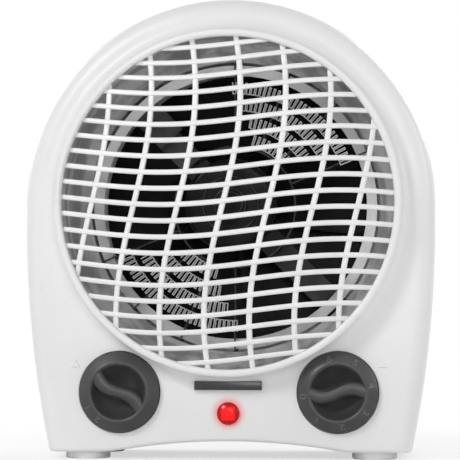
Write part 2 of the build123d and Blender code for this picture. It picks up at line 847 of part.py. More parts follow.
def motor_cap():
    """Round cap in front of the motor, stepped up to a nose with a dimple."""
    step_y = cap_front_y - cap_step_height
    nose_y = step_y - cap_nose_height
    cap = on_axis(cap_radius, cap_front_y, cap_back_y)
    front_edge = [e for e in cap.edges() if abs(e.center().Y - cap_front_y) < fine and e.geom_type == GeomType.CIRCLE]
    cap = fillet(front_edge, cap_edge_round)
    cap += on_axis(cap_step_radius, step_y, cap_front_y) + on_axis(cap_nose_radius, nose_y, step_y)
    cap -= on_axis(cap_dimple_radius, nose_y, nose_y + cap_dimple_depth)
    cap -= on_axis(cap_radius - cap_wall, cap_front_y + cap_edge_round, cap_back_y - cap_wall)
    cap -= on_axis(motor_radius + slip, cap_front_y + cap_edge_round, cap_back_y + wall)
    return cap


def motor_bracket():
    """Steel strip across the duct, with a disc for the motor and tabs bent back against the duct."""
    outer = duct_rear_radius - slip
    back_y = bracket_y + bracket_sheet
    arm = Rectangle(2 * outer, bracket_arm_width) + Circle(bracket_disc_radius)
    plate = slab(Pos(0, arch_centre_z) * arm, bracket_y, back_y) & on_axis(outer, bracket_y, back_y)
    tab_strip = Rectangle(2 * outer, bracket_arm_width)
    tabs = slab(Pos(0, arch_centre_z) * tab_strip, bracket_y, bracket_y + bracket_tab)
    plate += tabs & sleeve(outer, outer - bracket_sheet, bracket_y, bracket_y + bracket_tab)
    plate -= on_axis(bracket_shaft_hole, bracket_y - wall, back_y + wall)
    for turn in (0, sector_turn):
        plate -= about_fan_axis(turn, radial_rod(small_screw_radius + slip, bracket_disc_radius, arch_radius))
    plate = about_fan_axis(bracket_arm_angle, plate)
    return plate - motor_screw_cut(bracket_y - wall, back_y + wall, motor_screw_radius + slip)


# Fan

def fan_blade():
    """Twisted blade, lofted through straight radial sections that climb as they turn."""
    climb = fan_depth - blade_sheet
    sections = []
    for index in range(blade_stations):
        share = index / (blade_stations - 1)
        low_y = fan_front_y + climb * share
        corners = [
            (fan_hub_radius - blade_sheet, low_y), (fan_tip_radius, low_y),
            (fan_tip_radius, low_y + blade_sheet), (fan_hub_radius - blade_sheet, low_y + blade_sheet),
        ]
        section = make_face(Polyline(*corners, close=True))
        sections.append(about_fan_axis(blade_sweep * share, Pos(0, 0, arch_centre_z) * section))
    return loft(sections)


def fan_impeller():
    back_y = fan_front_y + fan_depth
    hub = on_axis(fan_hub_radius, fan_front_y, back_y)
    hub -= on_axis(fan_hub_radius - blade_sheet, fan_front_y + blade_sheet, back_y + wall)
    hub += on_axis(fan_clip_radius, fan_front_y, back_y)
    blade = fan_blade() - on_axis(fan_hub_radius - blade_sheet / 2, fan_front_y - wall, back_y + wall)
    for index in range(fan_blades):
        hub += about_fan_axis(blade_phase + 360 / fan_blades * index, blade)
    return hub - on_axis(shaft_radius, fan_front_y - wall, back_y + wall)


def fan_clip():
    back_y = fan_front_y + fan_depth
    return sleeve(fan_clip_radius, shaft_radius, back_y, back_y + fan_clip_sheet)


# Controls

def at_knob(side, angle, shape):
    """Shape built on the Y line through the origin, turned anticlockwise and set at a knob's place."""
    return Pos(side * knob_x, 0, knob_z) * Rot(0, -angle, 0) * shape


def shaft_section(radius):
    flat = Pos(radius * (1 + shaft_flat), 0) * Rectangle(2 * radius, 2 * radius)
    return Circle(radius) - flat


def grip_outline():
    """S-shaped grip bar seen from the front, wider at its ends than in the middle."""
    reach = bowl_radius + fine
    stations = [reach * (2 * i / (wave_points - 1) - 1) for i in range(wave_points)]
    flare = (grip_end_width - grip_mid_width) / 2
    widths = [grip_mid_width / 2 + flare * (s / reach) ** 2 for s in stations]
    waves = [grip_wave * sin(pi * s / reach) for s in stations]
    upper = Spline([(s, m + w) for s, m, w in zip(stations, waves, widths)])
    lower = Spline([(s, m - w) for s, m, w in zip(stations, waves, widths)])
    return make_face([upper, Line(upper @ 1, lower @ 1), lower, Line(lower @ 0, upper @ 0)])


def knob_body():
    """Round knob with a conical rim, a bowl in its face and an S-shaped grip bar across the bowl."""
    bowl_y = knob_front_y + bowl_depth
    bowl_curve = (bowl_radius ** 2 + bowl_depth ** 2) / (2 * bowl_depth)
    bowl_centre_y = bowl_y - bowl_curve
    half_angle = asin(bowl_radius / bowl_curve) / 2
    bowl_middle = (bowl_centre_y + bowl_curve * cos(half_angle), bowl_curve * sin(half_angle))
    outside = Polyline(
        (bowl_y, 0), (knob_back_y, 0), (knob_back_y, knob_radius), (panel_y, knob_radius),
        (knob_front_y, knob_radius - knob_cone), (knob_front_y, bowl_radius),
    )
    bowl = ThreePointArc((knob_front_y, bowl_radius), bowl_middle, (bowl_y, 0))
    profile = make_face([outside, bowl])
    rim = [v for v in profile.vertices() if abs(v.Y - knob_radius + knob_cone) < fine or abs(v.Y - bowl_radius) < fine]
    body = turned(0, 0, fillet(rim, knob_edge_round))
    body += slab(grip_outline(), knob_front_y, bowl_y + fine) & rod(0, 0, bowl_radius, knob_front_y, bowl_y + fine)
    inner = knob_radius - knob_shell
    body -= pipe(0, 0, inner, knob_hub_radius, bowl_y + knob_shell, knob_back_y + wall)
    body -= pipe(0, 0, inner, bowl_radius + knob_shell, knob_front_y + knob_shell, knob_back_y + wall)
    return body - slab(shaft_section(control_shaft_radius + slip), control_shaft_front_y, knob_back_y + wall)


def control_shaft():
    end_y = control_y + shaft_stub
    front_y = control_shaft_front_y + fine
    d_part = slab(shaft_section(control_shaft_radius), front_y, knob_back_y)
    return d_part + rod(0, 0, control_shaft_radius, knob_back_y, end_y)


def control_bush_and_bore(body):
    """Adds the bush that passes through the well's floor, the shaft's bore and the screw holes."""
    body += rod(0, 0, control_bush_radius, well_floor_y, control_y)
    body -= rod(0, 0, control_shaft_radius + slip, well_floor_y - wall, control_y + shaft_stub + fine)
    for side in (-1, 1):
        body -= rod(side * control_screw_offset, 0, small_screw_radius + slip,
                    control_y - wall, well_floor_y + small_screw_bite + fine)
    return body


def terminals(places, back_y):
    blade = Rectangle(terminal_sheet, terminal_width)
    return join([slab(Pos(x, z) * blade, back_y - fine, back_y + terminal_length) for x, z in places])


def mode_switch():
    """Round rotary switch with its terminals at the back."""
    back_y = control_y + mode_switch_depth
    reach = mode_switch_radius / 2
    body = rod(0, 0, mode_switch_radius, control_y, back_y)
    body += terminals([(-reach, 0), (reach, 0), (0, reach), (0, -reach)], back_y)
    return at_knob(-1, 0, control_bush_and_bore(body))


def thermostat():
    """Moulded base with a post for the bimetal strip and two terminals."""
    back_y = control_y + shaft_stub + wall
    body = slab(Rectangle(thermostat_width, thermostat_height), control_y, back_y)
    post_x = (thermostat_width - bimetal_post) / 2
    body += slab(Pos(-post_x, 0) * Rectangle(bimetal_post, bimetal_width), back_y, back_y + bimetal_post)
    body += terminals([(post_x, 0)], back_y)
    return at_knob(1, 0, control_bush_and_bore(body))


def thermostat_bimetal():
    front_y = control_y + shaft_stub + wall + bimetal_post
    length = thermostat_width - 2 * bimetal_post
    strip = Pos(-thermostat_width / 2 + length / 2, 0) * Rectangle(length, bimetal_width)
    return at_knob(1, 0, slab(strip, front_y, front_y + bimetal_sheet))


# Pilot lamp

def indicator_lens():
    rim_y = panel_y - lens_rim
    inner = lens_body_radius - lens_wall
    crown_y = rim_y - lens_rise
    half = lens_radius * sin(pi / 4)
    dome = ThreePointArc((crown_y, 0), (rim_y - lens_rise * cos(pi / 4), half), (rim_y, lens_radius))
    rest = Polyline(
        (rim_y, lens_radius), (panel_y, lens_radius), (panel_y, lens_body_radius),
        (panel_y + lens_body_length, lens_body_radius), (panel_y + lens_body_length, inner),
        (rim_y, inner), (rim_y, 0), (crown_y, 0),
    )
    return turned(0, lamp_z, make_face([dome, rest]))


def indicator_lamp():
    """Small glow lamp on a base disc that fits inside the lens's body."""
    base_radius = lens_body_radius - lens_wall - slip
    base_back_y = panel_y + lens_body_length
    front_y = panel_y
    bulb = rod(0, lamp_z, lamp_radius, front_y, front_y + lamp_length)
    return bulb + rod(0, lamp_z, base_radius, base_back_y - lens_rim, base_back_y)


# Supply, feet and fasteners

def terminal_block():
    length, width, height = block_size
    block = Pos(block_x, block_y, block_seat_z + height / 2) * Box(length, width, height)
    pitch = length / block_poles
    for index in range(block_poles):
        x = block_x + (index - (block_poles - 1) / 2) * pitch
        block -= Pos(x, block_y, block_seat_z + height) * Cylinder(screw_radius, height)
    return block


def cord_gland():
    """Strain-relief bush in the rear wall, with a flange outside, a shoulder inside and a tapered nose."""
    inside_y = rear_y - wall
    flange_y = rear_y + gland_flange
    profile = make_face(Polyline(
        (rear_y - gland_inner_length, gland_bore_radius), (rear_y - gland_inner_length, gland_radius),
        (inside_y - gland_lock, gland_radius), (inside_y - gland_lock, gland_lock_radius),
        (inside_y, gland_lock_radius), (inside_y, gland_radius),
        (rear_y, gland_radius), (rear_y, gland_flange_radius), (flange_y, gland_flange_radius),
        (flange_y, gland_radius), (intake_apex_y, gland_tail_radius), (intake_apex_y, gland_bore_radius), close=True,
    ))
    return turned(gland_x, gland_z, profile)


def foot(x, y):
    pad = Pos(x, y, foot_height / 2) * Cylinder(foot_radius, foot_height)
    low_edge = pad.edges().sort_by(Axis.Z)[0]
    pad = fillet(low_edge, foot_edge_round)
    peg = Pos(x, y, foot_height + foot_peg_length / 2) * Cylinder(foot_peg_radius, foot_peg_length)
    return pad + peg


def screw(x, z, radius, head_radius, head_height, seat_y, bite, front_headed):
    """Pan-head screw along Y whose head sits at seat_y and whose tip reaches in by its bite."""
    if front_headed:
        return rod(x, z, head_radius, seat_y - head_height, seat_y) + rod(x, z, radius, seat_y, seat_y + bite)
    return rod(x, z, head_radius, seat_y, seat_y + head_height) + rod(x, z, radius, seat_y - bite, seat_y)


def small_screw(x, z, seat_y, bite, front_headed):
    return screw(x, z, small_screw_radius, small_head_radius, small_head_height, seat_y, bite, front_headed)


def housing_screws():
    grip = screw_seat_y - seam_y + screw_bite
    return join([screw(x, z, screw_radius, screw_head_radius, screw_head_height, screw_seat_y, grip, False)
                 for x, z in screw_places()])


def duct_screws():
    seat_y = lug_y + duct_sheet
    return join([small_screw(*polar(lug_reach, angle), seat_y, small_screw_bite, False) for angle in lug_angles])


def control_screws():
    return join([small_screw(x, z, well_floor_y, small_screw_bite, True) for x, z in control_screw_places()])


def motor_screws():
    seat_y = bracket_y + bracket_sheet
    grip = bracket_sheet + motor_screw_grip
    return join([
        screw(side * motor_screw_offset, arch_centre_z, motor_screw_radius, small_head_radius, small_head_height,
              seat_y, grip, False)
        for side in (-1, 1)])


def bracket_screws():
    """Two screws that enter the bracket's tabs from outside the duct."""
    duct_outside = duct_rear_radius + duct_sheet
    inner = duct_rear_radius - bracket_sheet - wall
    head = radial_rod(small_head_radius, duct_outside, duct_outside + small_head_height)
    whole = head + radial_rod(small_screw_radius, inner, duct_outside)
    return join([about_fan_axis(bracket_arm_angle + turn, whole) for turn in (0, sector_turn)])


nodes = {
    "front_housing": front_housing(),
    "rear_housing": rear_housing(),
    "front_grille": front_grille(),
    "rear_grille": rear_grille(),
    "air_duct": air_duct(),
    "element_ring": element_ring(),
    "mica_plates": mica_plates(),
    "mica_inner_band": mica_inner_band(),
    "ribbon_upper": ribbon(0),
    "ribbon_lower": ribbon(sector_turn),
    "cutout_bracket": cutout_bracket(),
    "thermal_cutout": thermal_cutout(),
    "thermal_fuse": thermal_fuse(),
    "motor_can": motor_can(),
    "motor_end_bell": motor_end_bell(),
    "motor_bushes": motor_bushes(),
    "motor_magnets": motor_magnets(),
    "motor_brushes": motor_brushes(),
    "motor_cap": motor_cap(),
    "motor_bracket": motor_bracket(),
    "motor_shaft": motor_shaft(),
    "armature_core": armature_core(),
    "armature_winding": armature_winding(),
    "commutator": commutator(),
    "rectifier_board": rectifier_board(),
    "fan_impeller": fan_impeller(),
    "fan_clip": fan_clip(),
    "mode_knob": at_knob(-1, mode_rest_angle, knob_body()),
    "mode_shaft": at_knob(-1, mode_rest_angle, control_shaft()),
    "mode_switch": mode_switch(),
    "thermostat_knob": at_knob(1, thermostat_rest_angle, knob_body()),
    "thermostat_shaft": at_knob(1, thermostat_rest_angle, control_shaft()),
    "thermostat": thermostat(),
    "thermostat_bimetal": thermostat_bimetal(),
    "indicator_lens": indicator_lens(),
    "indicator_lamp": indicator_lamp(),
    "terminal_block": terminal_block(),
    "cord_gland": cord_gland(),
    "housing_screws": housing_screws(),
    "duct_screws": duct_screws(),
    "control_screws": control_screws(),
    "motor_screws": motor_screws(),
    "bracket_screws": bracket_screws(),
}
nodes.update({name: foot(x, y) for name, (x, y) in foot_places().items()})

os.makedirs("parts", exist_ok=True)
for name, shape in nodes.items():
    export_step(shape, f"parts/{name}.step")
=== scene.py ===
import math

import bmesh
import bpy
from bpy.props import FloatProperty, FloatVectorProperty, IntProperty, PointerProperty
from mathutils import Matrix, Vector


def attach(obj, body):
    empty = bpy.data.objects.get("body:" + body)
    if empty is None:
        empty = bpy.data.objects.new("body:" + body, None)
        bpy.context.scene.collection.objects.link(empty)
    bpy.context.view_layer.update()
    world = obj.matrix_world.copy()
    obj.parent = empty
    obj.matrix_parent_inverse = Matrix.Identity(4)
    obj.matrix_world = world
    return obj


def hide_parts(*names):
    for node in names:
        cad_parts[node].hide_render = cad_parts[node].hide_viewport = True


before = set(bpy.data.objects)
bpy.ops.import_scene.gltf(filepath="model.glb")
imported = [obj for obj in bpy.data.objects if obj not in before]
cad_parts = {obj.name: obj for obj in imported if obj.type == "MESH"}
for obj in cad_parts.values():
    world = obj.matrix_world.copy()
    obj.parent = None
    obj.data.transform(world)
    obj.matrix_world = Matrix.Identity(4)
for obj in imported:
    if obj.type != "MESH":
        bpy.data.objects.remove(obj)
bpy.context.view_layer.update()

bl_info = {
    "name": "Fan heater builder",
    "version": (1, 0, 0),
    "blender": (4, 5, 0),
    "location": "View3D > Sidebar > Heater",
    "description": "Dresses an upright fan heater: shells, grilles, dials, element, fan and feet",
    "category": "Object",
}

MM = 0.001

# Range of a noise texture that holds nearly all of its values, and how far roughness drifts with it
NOISE_LOW = 0.3
NOISE_HIGH = 0.7
SMOOTHER = 0.9
ROUGHER = 1.12

# Share of the glow or of the painted shade along the seam where it is strongest, that shade's colour and its
# full-strength width
COVER = 0.75
SEAM_SHADE_COLOUR = (0.05, 0.05, 0.05)
SEAM_SHADE_CORE = 0.6

# Fades of the glow, in lens radii, and of the lit square's edge, in half widths of the square
GLOW_FULL = 0.9
GLOW_END = 1.75
SQUARE_FULL = 0.78
SQUARE_END = 1.2
LIT_STRENGTH = 0.9

# Vertices nearer than this are one. A search by halving takes this many steps
WELD = 1e-6
HALVINGS = 24

# Stretches along a rib and an upright of the outlet grille
RIB_STATIONS = 28
UPRIGHT_STATIONS = 32

# Small pieces: how much a pointer narrows, how far the plate goes into the panel, the lens and the beads
POINTER_TAPER = 0.72
PLATE_SINK = 1 * MM
LENS_EDGE = 0.2 * MM
LENS_STEPS = 10
BEAD_SIDES = 12

# Dials: steps of the bowl, how far the grip runs past it and how much the grip's foot spreads
BOWL_STEPS = 12
GRIP_OVERRUN = 0.6 * MM
GRIP_FOOT = 0.55
GRIP_FOOT_START = 0.2

# Dial figures: each with its place, in degrees anticlockwise from the viewer's right
MODE_MARKS = (("1", 206), ("2", 232.5))
THERMOSTAT_MARKS = (("0", 186.5), ("1", 232.7), ("2", 278), ("3", 325), ("4", 11.9), ("5", 58.9),
                    ("6", 103.8))
FIGURE_THICKNESS = 0.08 * MM
FIGURE_THINNING = 0.02 * MM

# Fan: the hub's edge, how far a blade runs into the hub, and the blade's bow, flare, lean and flattening
HUB_EDGE = 2 * MM
BLADE_ROOT = 0.6 * MM
BLADE_BOW = 1.2 * MM
BLADE_FLARE = 0.04
BLADE_LEAN = 0.12
BLADE_FLATTENING = 0.25

# Stage: floor and lamps. A lamp has a name, a place, a width, the property with its power, and its share
FLOOR_REACH = 6.0
FLOOR_NEAR = 0.05
FLOOR_FAR = 0.4
FLOOR_WHITE_NEAR = 0.6
LAMP_AIM = Vector((0, 0, 0.12))
LAMPS = (
    ("key", (-1.0, -1.3, 1.2), 0.55, "key", 1.0),
    ("fill", (0.25, -1.9, 0.45), 0.8, "fill", 1.0),
    ("back_right", (1.0, 1.3, 1.0), 0.9, "back", 1.0),
    ("back_left", (-1.2, 1.1, 0.8), 0.9, "back", 0.6),
    ("side", (1.6, -0.2, 0.6), 0.9, "side", 1.0),
)
SENSOR_WIDTH = 36


def length(name, text, millimetres):
    return FloatProperty(name=name, description=text, default=millimetres * MM, unit="LENGTH", precision=5)


def turn(name, text, degrees):
    return FloatProperty(name=name, description=text, default=math.radians(degrees), subtype="ANGLE")


def number(name, text, value):
    return IntProperty(name=name, description=text, default=value, min=1)


def watts(name, text, value):
    return FloatProperty(name=name, description=text, default=value, min=0, unit="POWER")


def point(name, text, value):
    return FloatVectorProperty(name=name, description=text, default=value, subtype="TRANSLATION",
                               unit="LENGTH")


def tint(name, text, grey_or_rgb):
    """Colour property given in the 0-255 steps of a colour picker, kept linear."""
    steps = (grey_or_rgb,) * 3 if isinstance(grey_or_rgb, (int, float)) else grey_or_rgb
    linear = []
    for step in steps:
        share = step / 255
        linear.append(share / 12.92 if share <= 0.04045 else ((share + 0.055) / 1.055) ** 2.4)
    return FloatVectorProperty(name=name, description=text, default=linear, subtype="COLOR", size=3,
                               min=0, max=1)


class HeaterBody(bpy.types.PropertyGroup):
    axis_height: length("Fan axis height", "Height of the fan axis above the floor", 136.5)
    panel_y: length("Front panel depth", "Place of the front panel along Y", -38)
    pointer_x: length("Pointer offset", "Distance of each dial pointer from the middle", 82)
    pointer_z: length("Pointer height", "Height of the dial pointers", 50.4)
    pointer_size: length("Pointer size", "Circumradius of a dial pointer", 3.3)
    pointer_relief: length("Pointer relief", "How far a dial pointer stands out", 0.7)
    plate_width: length("Plate width", "Width of the plain trim plate", 36)
    plate_height: length("Plate height", "Height of the plain trim plate", 4.6)
    plate_z: length("Plate middle", "Height of the middle of the trim plate", 39.3)
    plate_front: length("Plate front", "Place of the plate's face along Y", -40.6)
    plate_edge: length("Plate edge", "Bevel round the plate", 0.5)
    # The seam line is painted shade: a dark line for the shade in the gap where the shells meet
    seam: length("Seam line", "Width of the line where the shells meet", 0.6)
    shell: tint("Shell", "Colour of the moulded shells", 234)
    shell_low: tint("Shell, second tone", "Second tone of the moulded shells", 230)
    glow: tint("Glow on the panel", "Red light of the lamp on the panel round it", (250, 150, 150))
    plate: tint("Plate", "Colour of the plain trim plate", 34)
    feet: tint("Feet", "Colour of the feet", 236)


class HeaterOutlet(bpy.types.PropertyGroup):
    radius: length("Opening radius", "Radius of the air outlet", 88.5)
    ring_width: length("Ring width", "Width of the rim ring behind the lip", 1.8)
    ring_front: length("Ring front", "Front of the rim ring along Y", -47)
    ring_back: length("Ring back", "Back of the rim ring along Y", -42.8)
    apex_y: length("Dome apex", "Front of the dome along Y", -62.5)
    rim_y: length("Dome rim", "Rim of the dome along Y", -47)
    edge_round: length("Bar edge", "Rounding of a bar's front edges", 0.95)
    rib_width: length("Rib width", "Width of a lying bar", 2.7)
    rib_depth: length("Rib depth", "Depth of a lying bar", 2.6)
    rib_pitch: length("Rib pitch", "Pitch of the lying bars along the dome", 8.54)
    rib_side_count: number("Ribs each side", "Lying bars above and below the middle one", 10)
    rib_wave: length("Rib wave", "Height of the lying bars' S-curve", 3.8)
    rib_half_wave: length("Rib half wave", "Half the wave length of the lying bars", 95)
    rib_start: length("Rib wave start", "Where the lying bars' wave crosses its middle", 16)
    rib_lift: length("Rib lift", "Height of the middle rib above the axis", 2.2)
    upright_width: length("Upright width", "Width of a standing bar", 3)
    upright_depth: length("Upright depth", "Depth of a standing bar", 2.8)
    upright_set_back: length("Upright set-back", "How far the standing bars lie behind the dome", 0.7)
    upright_pitch: length("Upright pitch", "Pitch of the standing bars along the dome", 23.9)
    upright_side_count: number("Uprights each side", "Standing bars each side of the middle one", 3)
    upright_wave: length("Upright wave", "Height of the standing bars' S-curve", 9.75)
    upright_half_wave: length("Upright half wave", "Half the wave length of the standing bars", 122.6)
    upright_start: length("Upright wave start", "Where the standing bars' wave crosses its middle", -4.6)
    upright_shift: length("Upright shift", "Sideways place of the middle standing bar", -2)
    bars: tint("Bars", "Colour of the outlet bars", 242)
    bars_low: tint("Bars, second tone", "Second tone of the outlet bars", 236)


class HeaterDials(bpy.types.PropertyGroup):
    spread: length("Dial spread", "Distance of each dial from the middle", 58.3)
    height: length("Dial height", "Height of the dials", 35.8)
    radius: length("Dial radius", "Outer radius of a dial", 21.5)
    back_y: length("Dial back", "Back of a dial along Y", -31)
    side_y: length("Dial side front", "Where the dial's side turns into its cone", -40.2)
    face_y: length("Dial face", "Front of a dial along Y", -45)
    bowl_radius: length("Bowl radius", "Radius of the hollow in the dial", 14.6)
    bowl_depth: length("Bowl depth", "Depth of the hollow in the dial", 10.5)
    lip: length("Bowl lip", "Rounding at the bowl's edge", 1.1)
    grip_end: length("Grip end width", "Width of the grip at its ends", 8.8)
    grip_middle: length("Grip middle width", "Width of the grip in its middle", 6.8)
    grip_wave: length("Grip wave", "Height of the grip's S-curve", 2.2)
    grip_round: length("Grip rounding", "Rounding along the grip's top", 2.7)
    mode_turn: turn("Mode dial turn", "Turn of the mode dial at rest", -38)
    thermostat_turn: turn("Thermostat turn", "Turn of the thermostat dial at rest", 1)
    figure_height: length("Figure height", "Size of the dial figures", 6.4)
    figure_radius: length("Figure place", "Distance of the figures from the dial's middle", 18.1)
    body: tint("Dial", "Colour of the dials", 64)
    body_low: tint("Dial, second tone", "Second tone of the dials", 58)
    # The figures are lighter than the dial as painted highlight, for the light caught by their edges
    figure: tint("Figures", "Colour of the dial figures", 106)


class HeaterLamp(bpy.types.PropertyGroup):
    height: length("Lamp height", "Height of the pilot lamp", 24.5)
    radius: length("Lens radius", "Radius of the lens", 6)
    rim: length("Lens rim", "Height of the lens rim over the panel", 0.9)
    rise: length("Lens rise", "Height of the lens dome over its rim", 1.8)
    core: length("Lit square", "Half the width of the lit square in the lens", 3.5)
    lit: tint("Lit square colour", "Colour of the lit square", (255, 12, 14))
    glass: tint("Lens colour", "Colour of the lens round the lit square", (168, 14, 18))


class HeaterInside(bpy.types.PropertyGroup):
    sector_start: turn("Sector start", "Angle of the first mica plate of a sector", 22.5)
    sector_end: turn("Sector end", "Angle of the last mica plate of a sector", 90)
    sector_turn: turn("Sector turn", "Turn from one element sector to the other", 180)
    overhang: length("Ribbon overhang", "How far the ribbon goes on past the last plates", 1)
    taper_start: turn("Taper at the start", "How much later each row inwards starts", 7.4)
    taper_end: turn("Taper at the end", "How much sooner each row inwards ends", 5.5)
    row_first: length("First ribbon row", "Radius of the innermost ribbon row", 38)
    row_pitch: length("Ribbon row pitch", "Distance between ribbon rows", 9.3)
    rows: number("Ribbon rows", "Rows of ribbon in a sector", 4)
    ribbon_swing: length("Ribbon swing", "Radial height of the ribbon's folds", 6.0)
    ribbon_width: length("Ribbon width", "Width of the ribbon along Y", 3)
    ribbon_sheet: length("Ribbon thickness", "Thickness of the ribbon", 0.42)
    ribbon_pitch: length("Ribbon pitch", "Distance between the ribbon's legs", 1.3)
    ribbon_y: length("Ribbon place", "Front of the ribbon along Y", 6.4)
    ring_front: length("Ring face", "Front of the element ring along Y", 8)
    ring_back: length("Ring back", "Back of the element ring along Y", 24)
    ring_inner: length("Ring face inside", "Inner radius of the element ring's face", 72.8)
    ring_outer: length("Ring face outside", "Outer radius of the element ring's face", 78.4)
    ring_wall: length("Ring wall", "Outer radius of the element ring's wall", 77)
    ring_sheet: length("Ring sheet", "Thickness of the element ring", 0.8)
    blade_count: number("Blades", "Number of fan blades", 5)
    blade_sweep: turn("Blade sweep", "Angle that a fan blade covers", 78)
    blade_phase: turn("Blade phase", "Angle of the first blade's leading edge", 20)
    hub_radius: length("Hub radius", "Radius of the fan hub", 13)
    tip_radius: length("Tip radius", "Radius of the blade tips", 75.5)
    fan_front: length("Fan front", "Front of the fan along Y", 33.5)
    fan_depth: length("Fan depth", "Depth of the fan along Y", 14)
    blade_sheet: length("Blade thickness", "Thickness of a blade", 1.6)
    shaft_radius: length("Shaft hole", "Radius of the hole in the fan hub", 1.7)
    duct: tint("Duct", "Colour of the air duct", 244)
    duct_low: tint("Duct, dark streaks", "Colour of the duct's dark streaks", 176)
    ring: tint("Element ring", "Colour of the element ring", 238)
    mica: tint("Mica", "Colour of the mica plates", 58)
    ribbon: tint("Ribbon", "Colour of the heating ribbon", 255)
    bead: length("Cap bead", "Radius of the rounded edges on the motor cap", 0.55)
    cap_step: length("Cap step radius", "Radius of the motor cap's step", 15)
    cap_step_y: length("Cap step", "Face of the motor cap's step along Y", -24.2)
    cap_nose: length("Cap nose radius", "Radius of the motor cap's nose", 8.5)
    cap_dimple: length("Cap dimple radius", "Radius of the dimple in the nose", 6.5)
    cap_nose_y: length("Cap nose", "Face of the motor cap's nose along Y", -26.6)
    black: tint("Black parts", "Colour of the motor cap and fan", 22)
    steel: tint("Steel", "Colour of plated steel", 186)
    brass: tint("Bronze", "Colour of the bushes", (176, 132, 78))
    copper: tint("Copper", "Colour of the winding", (186, 98, 56))
    board: tint("Board", "Colour of the rectifier board", (92, 112, 62))
    phenolic: tint("Control bodies", "Colour of the switch and thermostat", 52)
    block: tint("Terminal block", "Colour of the terminal block", 222)


class HeaterStage(bpy.types.PropertyGroup):
    camera: point("Camera place", "Where the camera stands", (0.105, -1.3, 0.0775))
    target: point("Camera target", "What the camera points at", (-0.0022, 0.0, 0.1235))
    lens: FloatProperty(name="Lens", description="Focal length of the camera", default=185.95, unit="CAMERA")
    sky: FloatProperty(name="Sky", description="Strength of the even light all round", default=0.33)
    key: watts("Key light", "Power of the large lamp at the upper left", 14.0)
    fill: watts("Fill light", "Power of the lamp in front", 5.6)
    back: watts("Back lights", "Power of the lamps behind", 11.0)
    side: watts("Side light", "Power of the lamp at the right", 5.0)
    floor: tint("Floor", "Colour of the floor", 250)


# Materials

def node(tree, kind, **settings):
    """Adds a node and gives it its settings."""
    made = tree.nodes.new(kind)
    for key, value in settings.items():
        setattr(made, key, value)
    return made


def set_inputs(made, **values):
    """Sets a node's inputs, whose names have _ for a space here."""
    for key, value in values.items():
        made.inputs[key.replace("_", " ")].default_value = value
    return made


def noise(tree, vector, scale, detail=3.0):
    """Noise over a vector."""
    made = set_inputs(node(tree, "ShaderNodeTexNoise"), Scale=scale, Detail=detail)
    tree.links.new(vector, made.inputs["Vector"])
    return made.outputs["Fac"]


def ramp(tree, value, stops):
    """Colour that eases from stop to stop, given as (place, colour)."""
    made = node(tree, "ShaderNodeValToRGB")
    made.color_ramp.interpolation = "EASE"
    while len(made.color_ramp.elements) < len(stops):
        made.color_ramp.elements.new(0.5)
    for element, (place, colour) in zip(made.color_ramp.elements, stops):
        element.position = place
        element.color = (*colour, 1.0)
    tree.links.new(value, made.inputs["Fac"])
    return made.outputs["Color"]


def remap(tree, value, start, end, first, last, kind="LINEAR"):
    """Goes from a first to a last number while the input goes from start to end."""
    made = set_inputs(node(tree, "ShaderNodeMapRange", interpolation_type=kind),
                      From_Min=start, From_Max=end, To_Min=first, To_Max=last)
    tree.links.new(value, made.inputs["Value"])
    return made.outputs["Result"]


def cover(tree, share, colour):
    """Lays a colour over a material's own, as far as the share says."""
    own = tree.nodes["Principled BSDF"].inputs["Base Color"]
    mix = node(tree, "ShaderNodeMix", data_type="RGBA")
    tree.links.new(share, mix.inputs["Factor"])
    tree.links.new(own.links[0].from_socket, mix.inputs["A"])
    mix.inputs["B"].default_value = (*colour, 1.0)
    tree.links.new(mix.outputs["Result"], own)


def axes(tree, vector):
    """Parts of a vector along X, Y and Z."""
    parts = node(tree, "ShaderNodeSeparateXYZ")
    tree.links.new(vector, parts.inputs["Vector"])
    return parts.outputs


def size_of(tree, value, operation="ABSOLUTE", kind="ShaderNodeMath"):
    """Absolute value of a number, or length of a vector."""
    made = node(tree, kind, operation=operation)
    tree.links.new(value, made.inputs[0])
    return made.outputs["Value"]


def finish(name, first, second, roughness, patch=90.0, grain=2500.0, relief=0.15, depth=0.00002,
           stretch=(1, 1, 1), metallic=0.0, coat=0.0, contrast=(0.35, 0.65), gloss=0.5):
    """Material whose tone and gloss drift over the surface, with a fine grain in its relief."""
    material = bpy.data.materials.new(name)
    material.use_nodes = True
    tree = material.node_tree
    shader = tree.nodes["Principled BSDF"]
    place = set_inputs(node(tree, "ShaderNodeMapping"), Scale=stretch)
    tree.links.new(node(tree, "ShaderNodeTexCoord").outputs["Object"], place.inputs["Vector"])
    patches = noise(tree, place.outputs["Vector"], patch)
    colour = ramp(tree, patches, [(contrast[0], first), (contrast[1], second)])
    tree.links.new(colour, shader.inputs["Base Color"])
    gloss_drift = remap(tree, patches, NOISE_LOW, NOISE_HIGH, roughness * SMOOTHER, roughness * ROUGHER)
    tree.links.new(gloss_drift, shader.inputs["Roughness"])
    bump = set_inputs(node(tree, "ShaderNodeBump"), Strength=relief, Distance=depth)
    tree.links.new(noise(tree, place.outputs["Vector"], grain, 2.0), bump.inputs["Height"])
    tree.links.new(bump.outputs["Normal"], shader.inputs["Normal"])
    set_inputs(shader, Metallic=metallic, Coat_Weight=coat, Specular_IOR_Level=gloss)
    return material


def darker(colour, share):
    """Colour with every channel scaled."""
    return tuple(channel * share for channel in colour)


def around_lamp(tree, height):
    """Place across the lamp's axis, whatever the depth, in metres."""
    place = set_inputs(node(tree, "ShaderNodeMapping"), Location=(0, 0, -height), Scale=(1, 0, 1))
    tree.links.new(node(tree, "ShaderNodeTexCoord").outputs["Object"], place.inputs["Vector"])
    return place.outputs["Vector"]


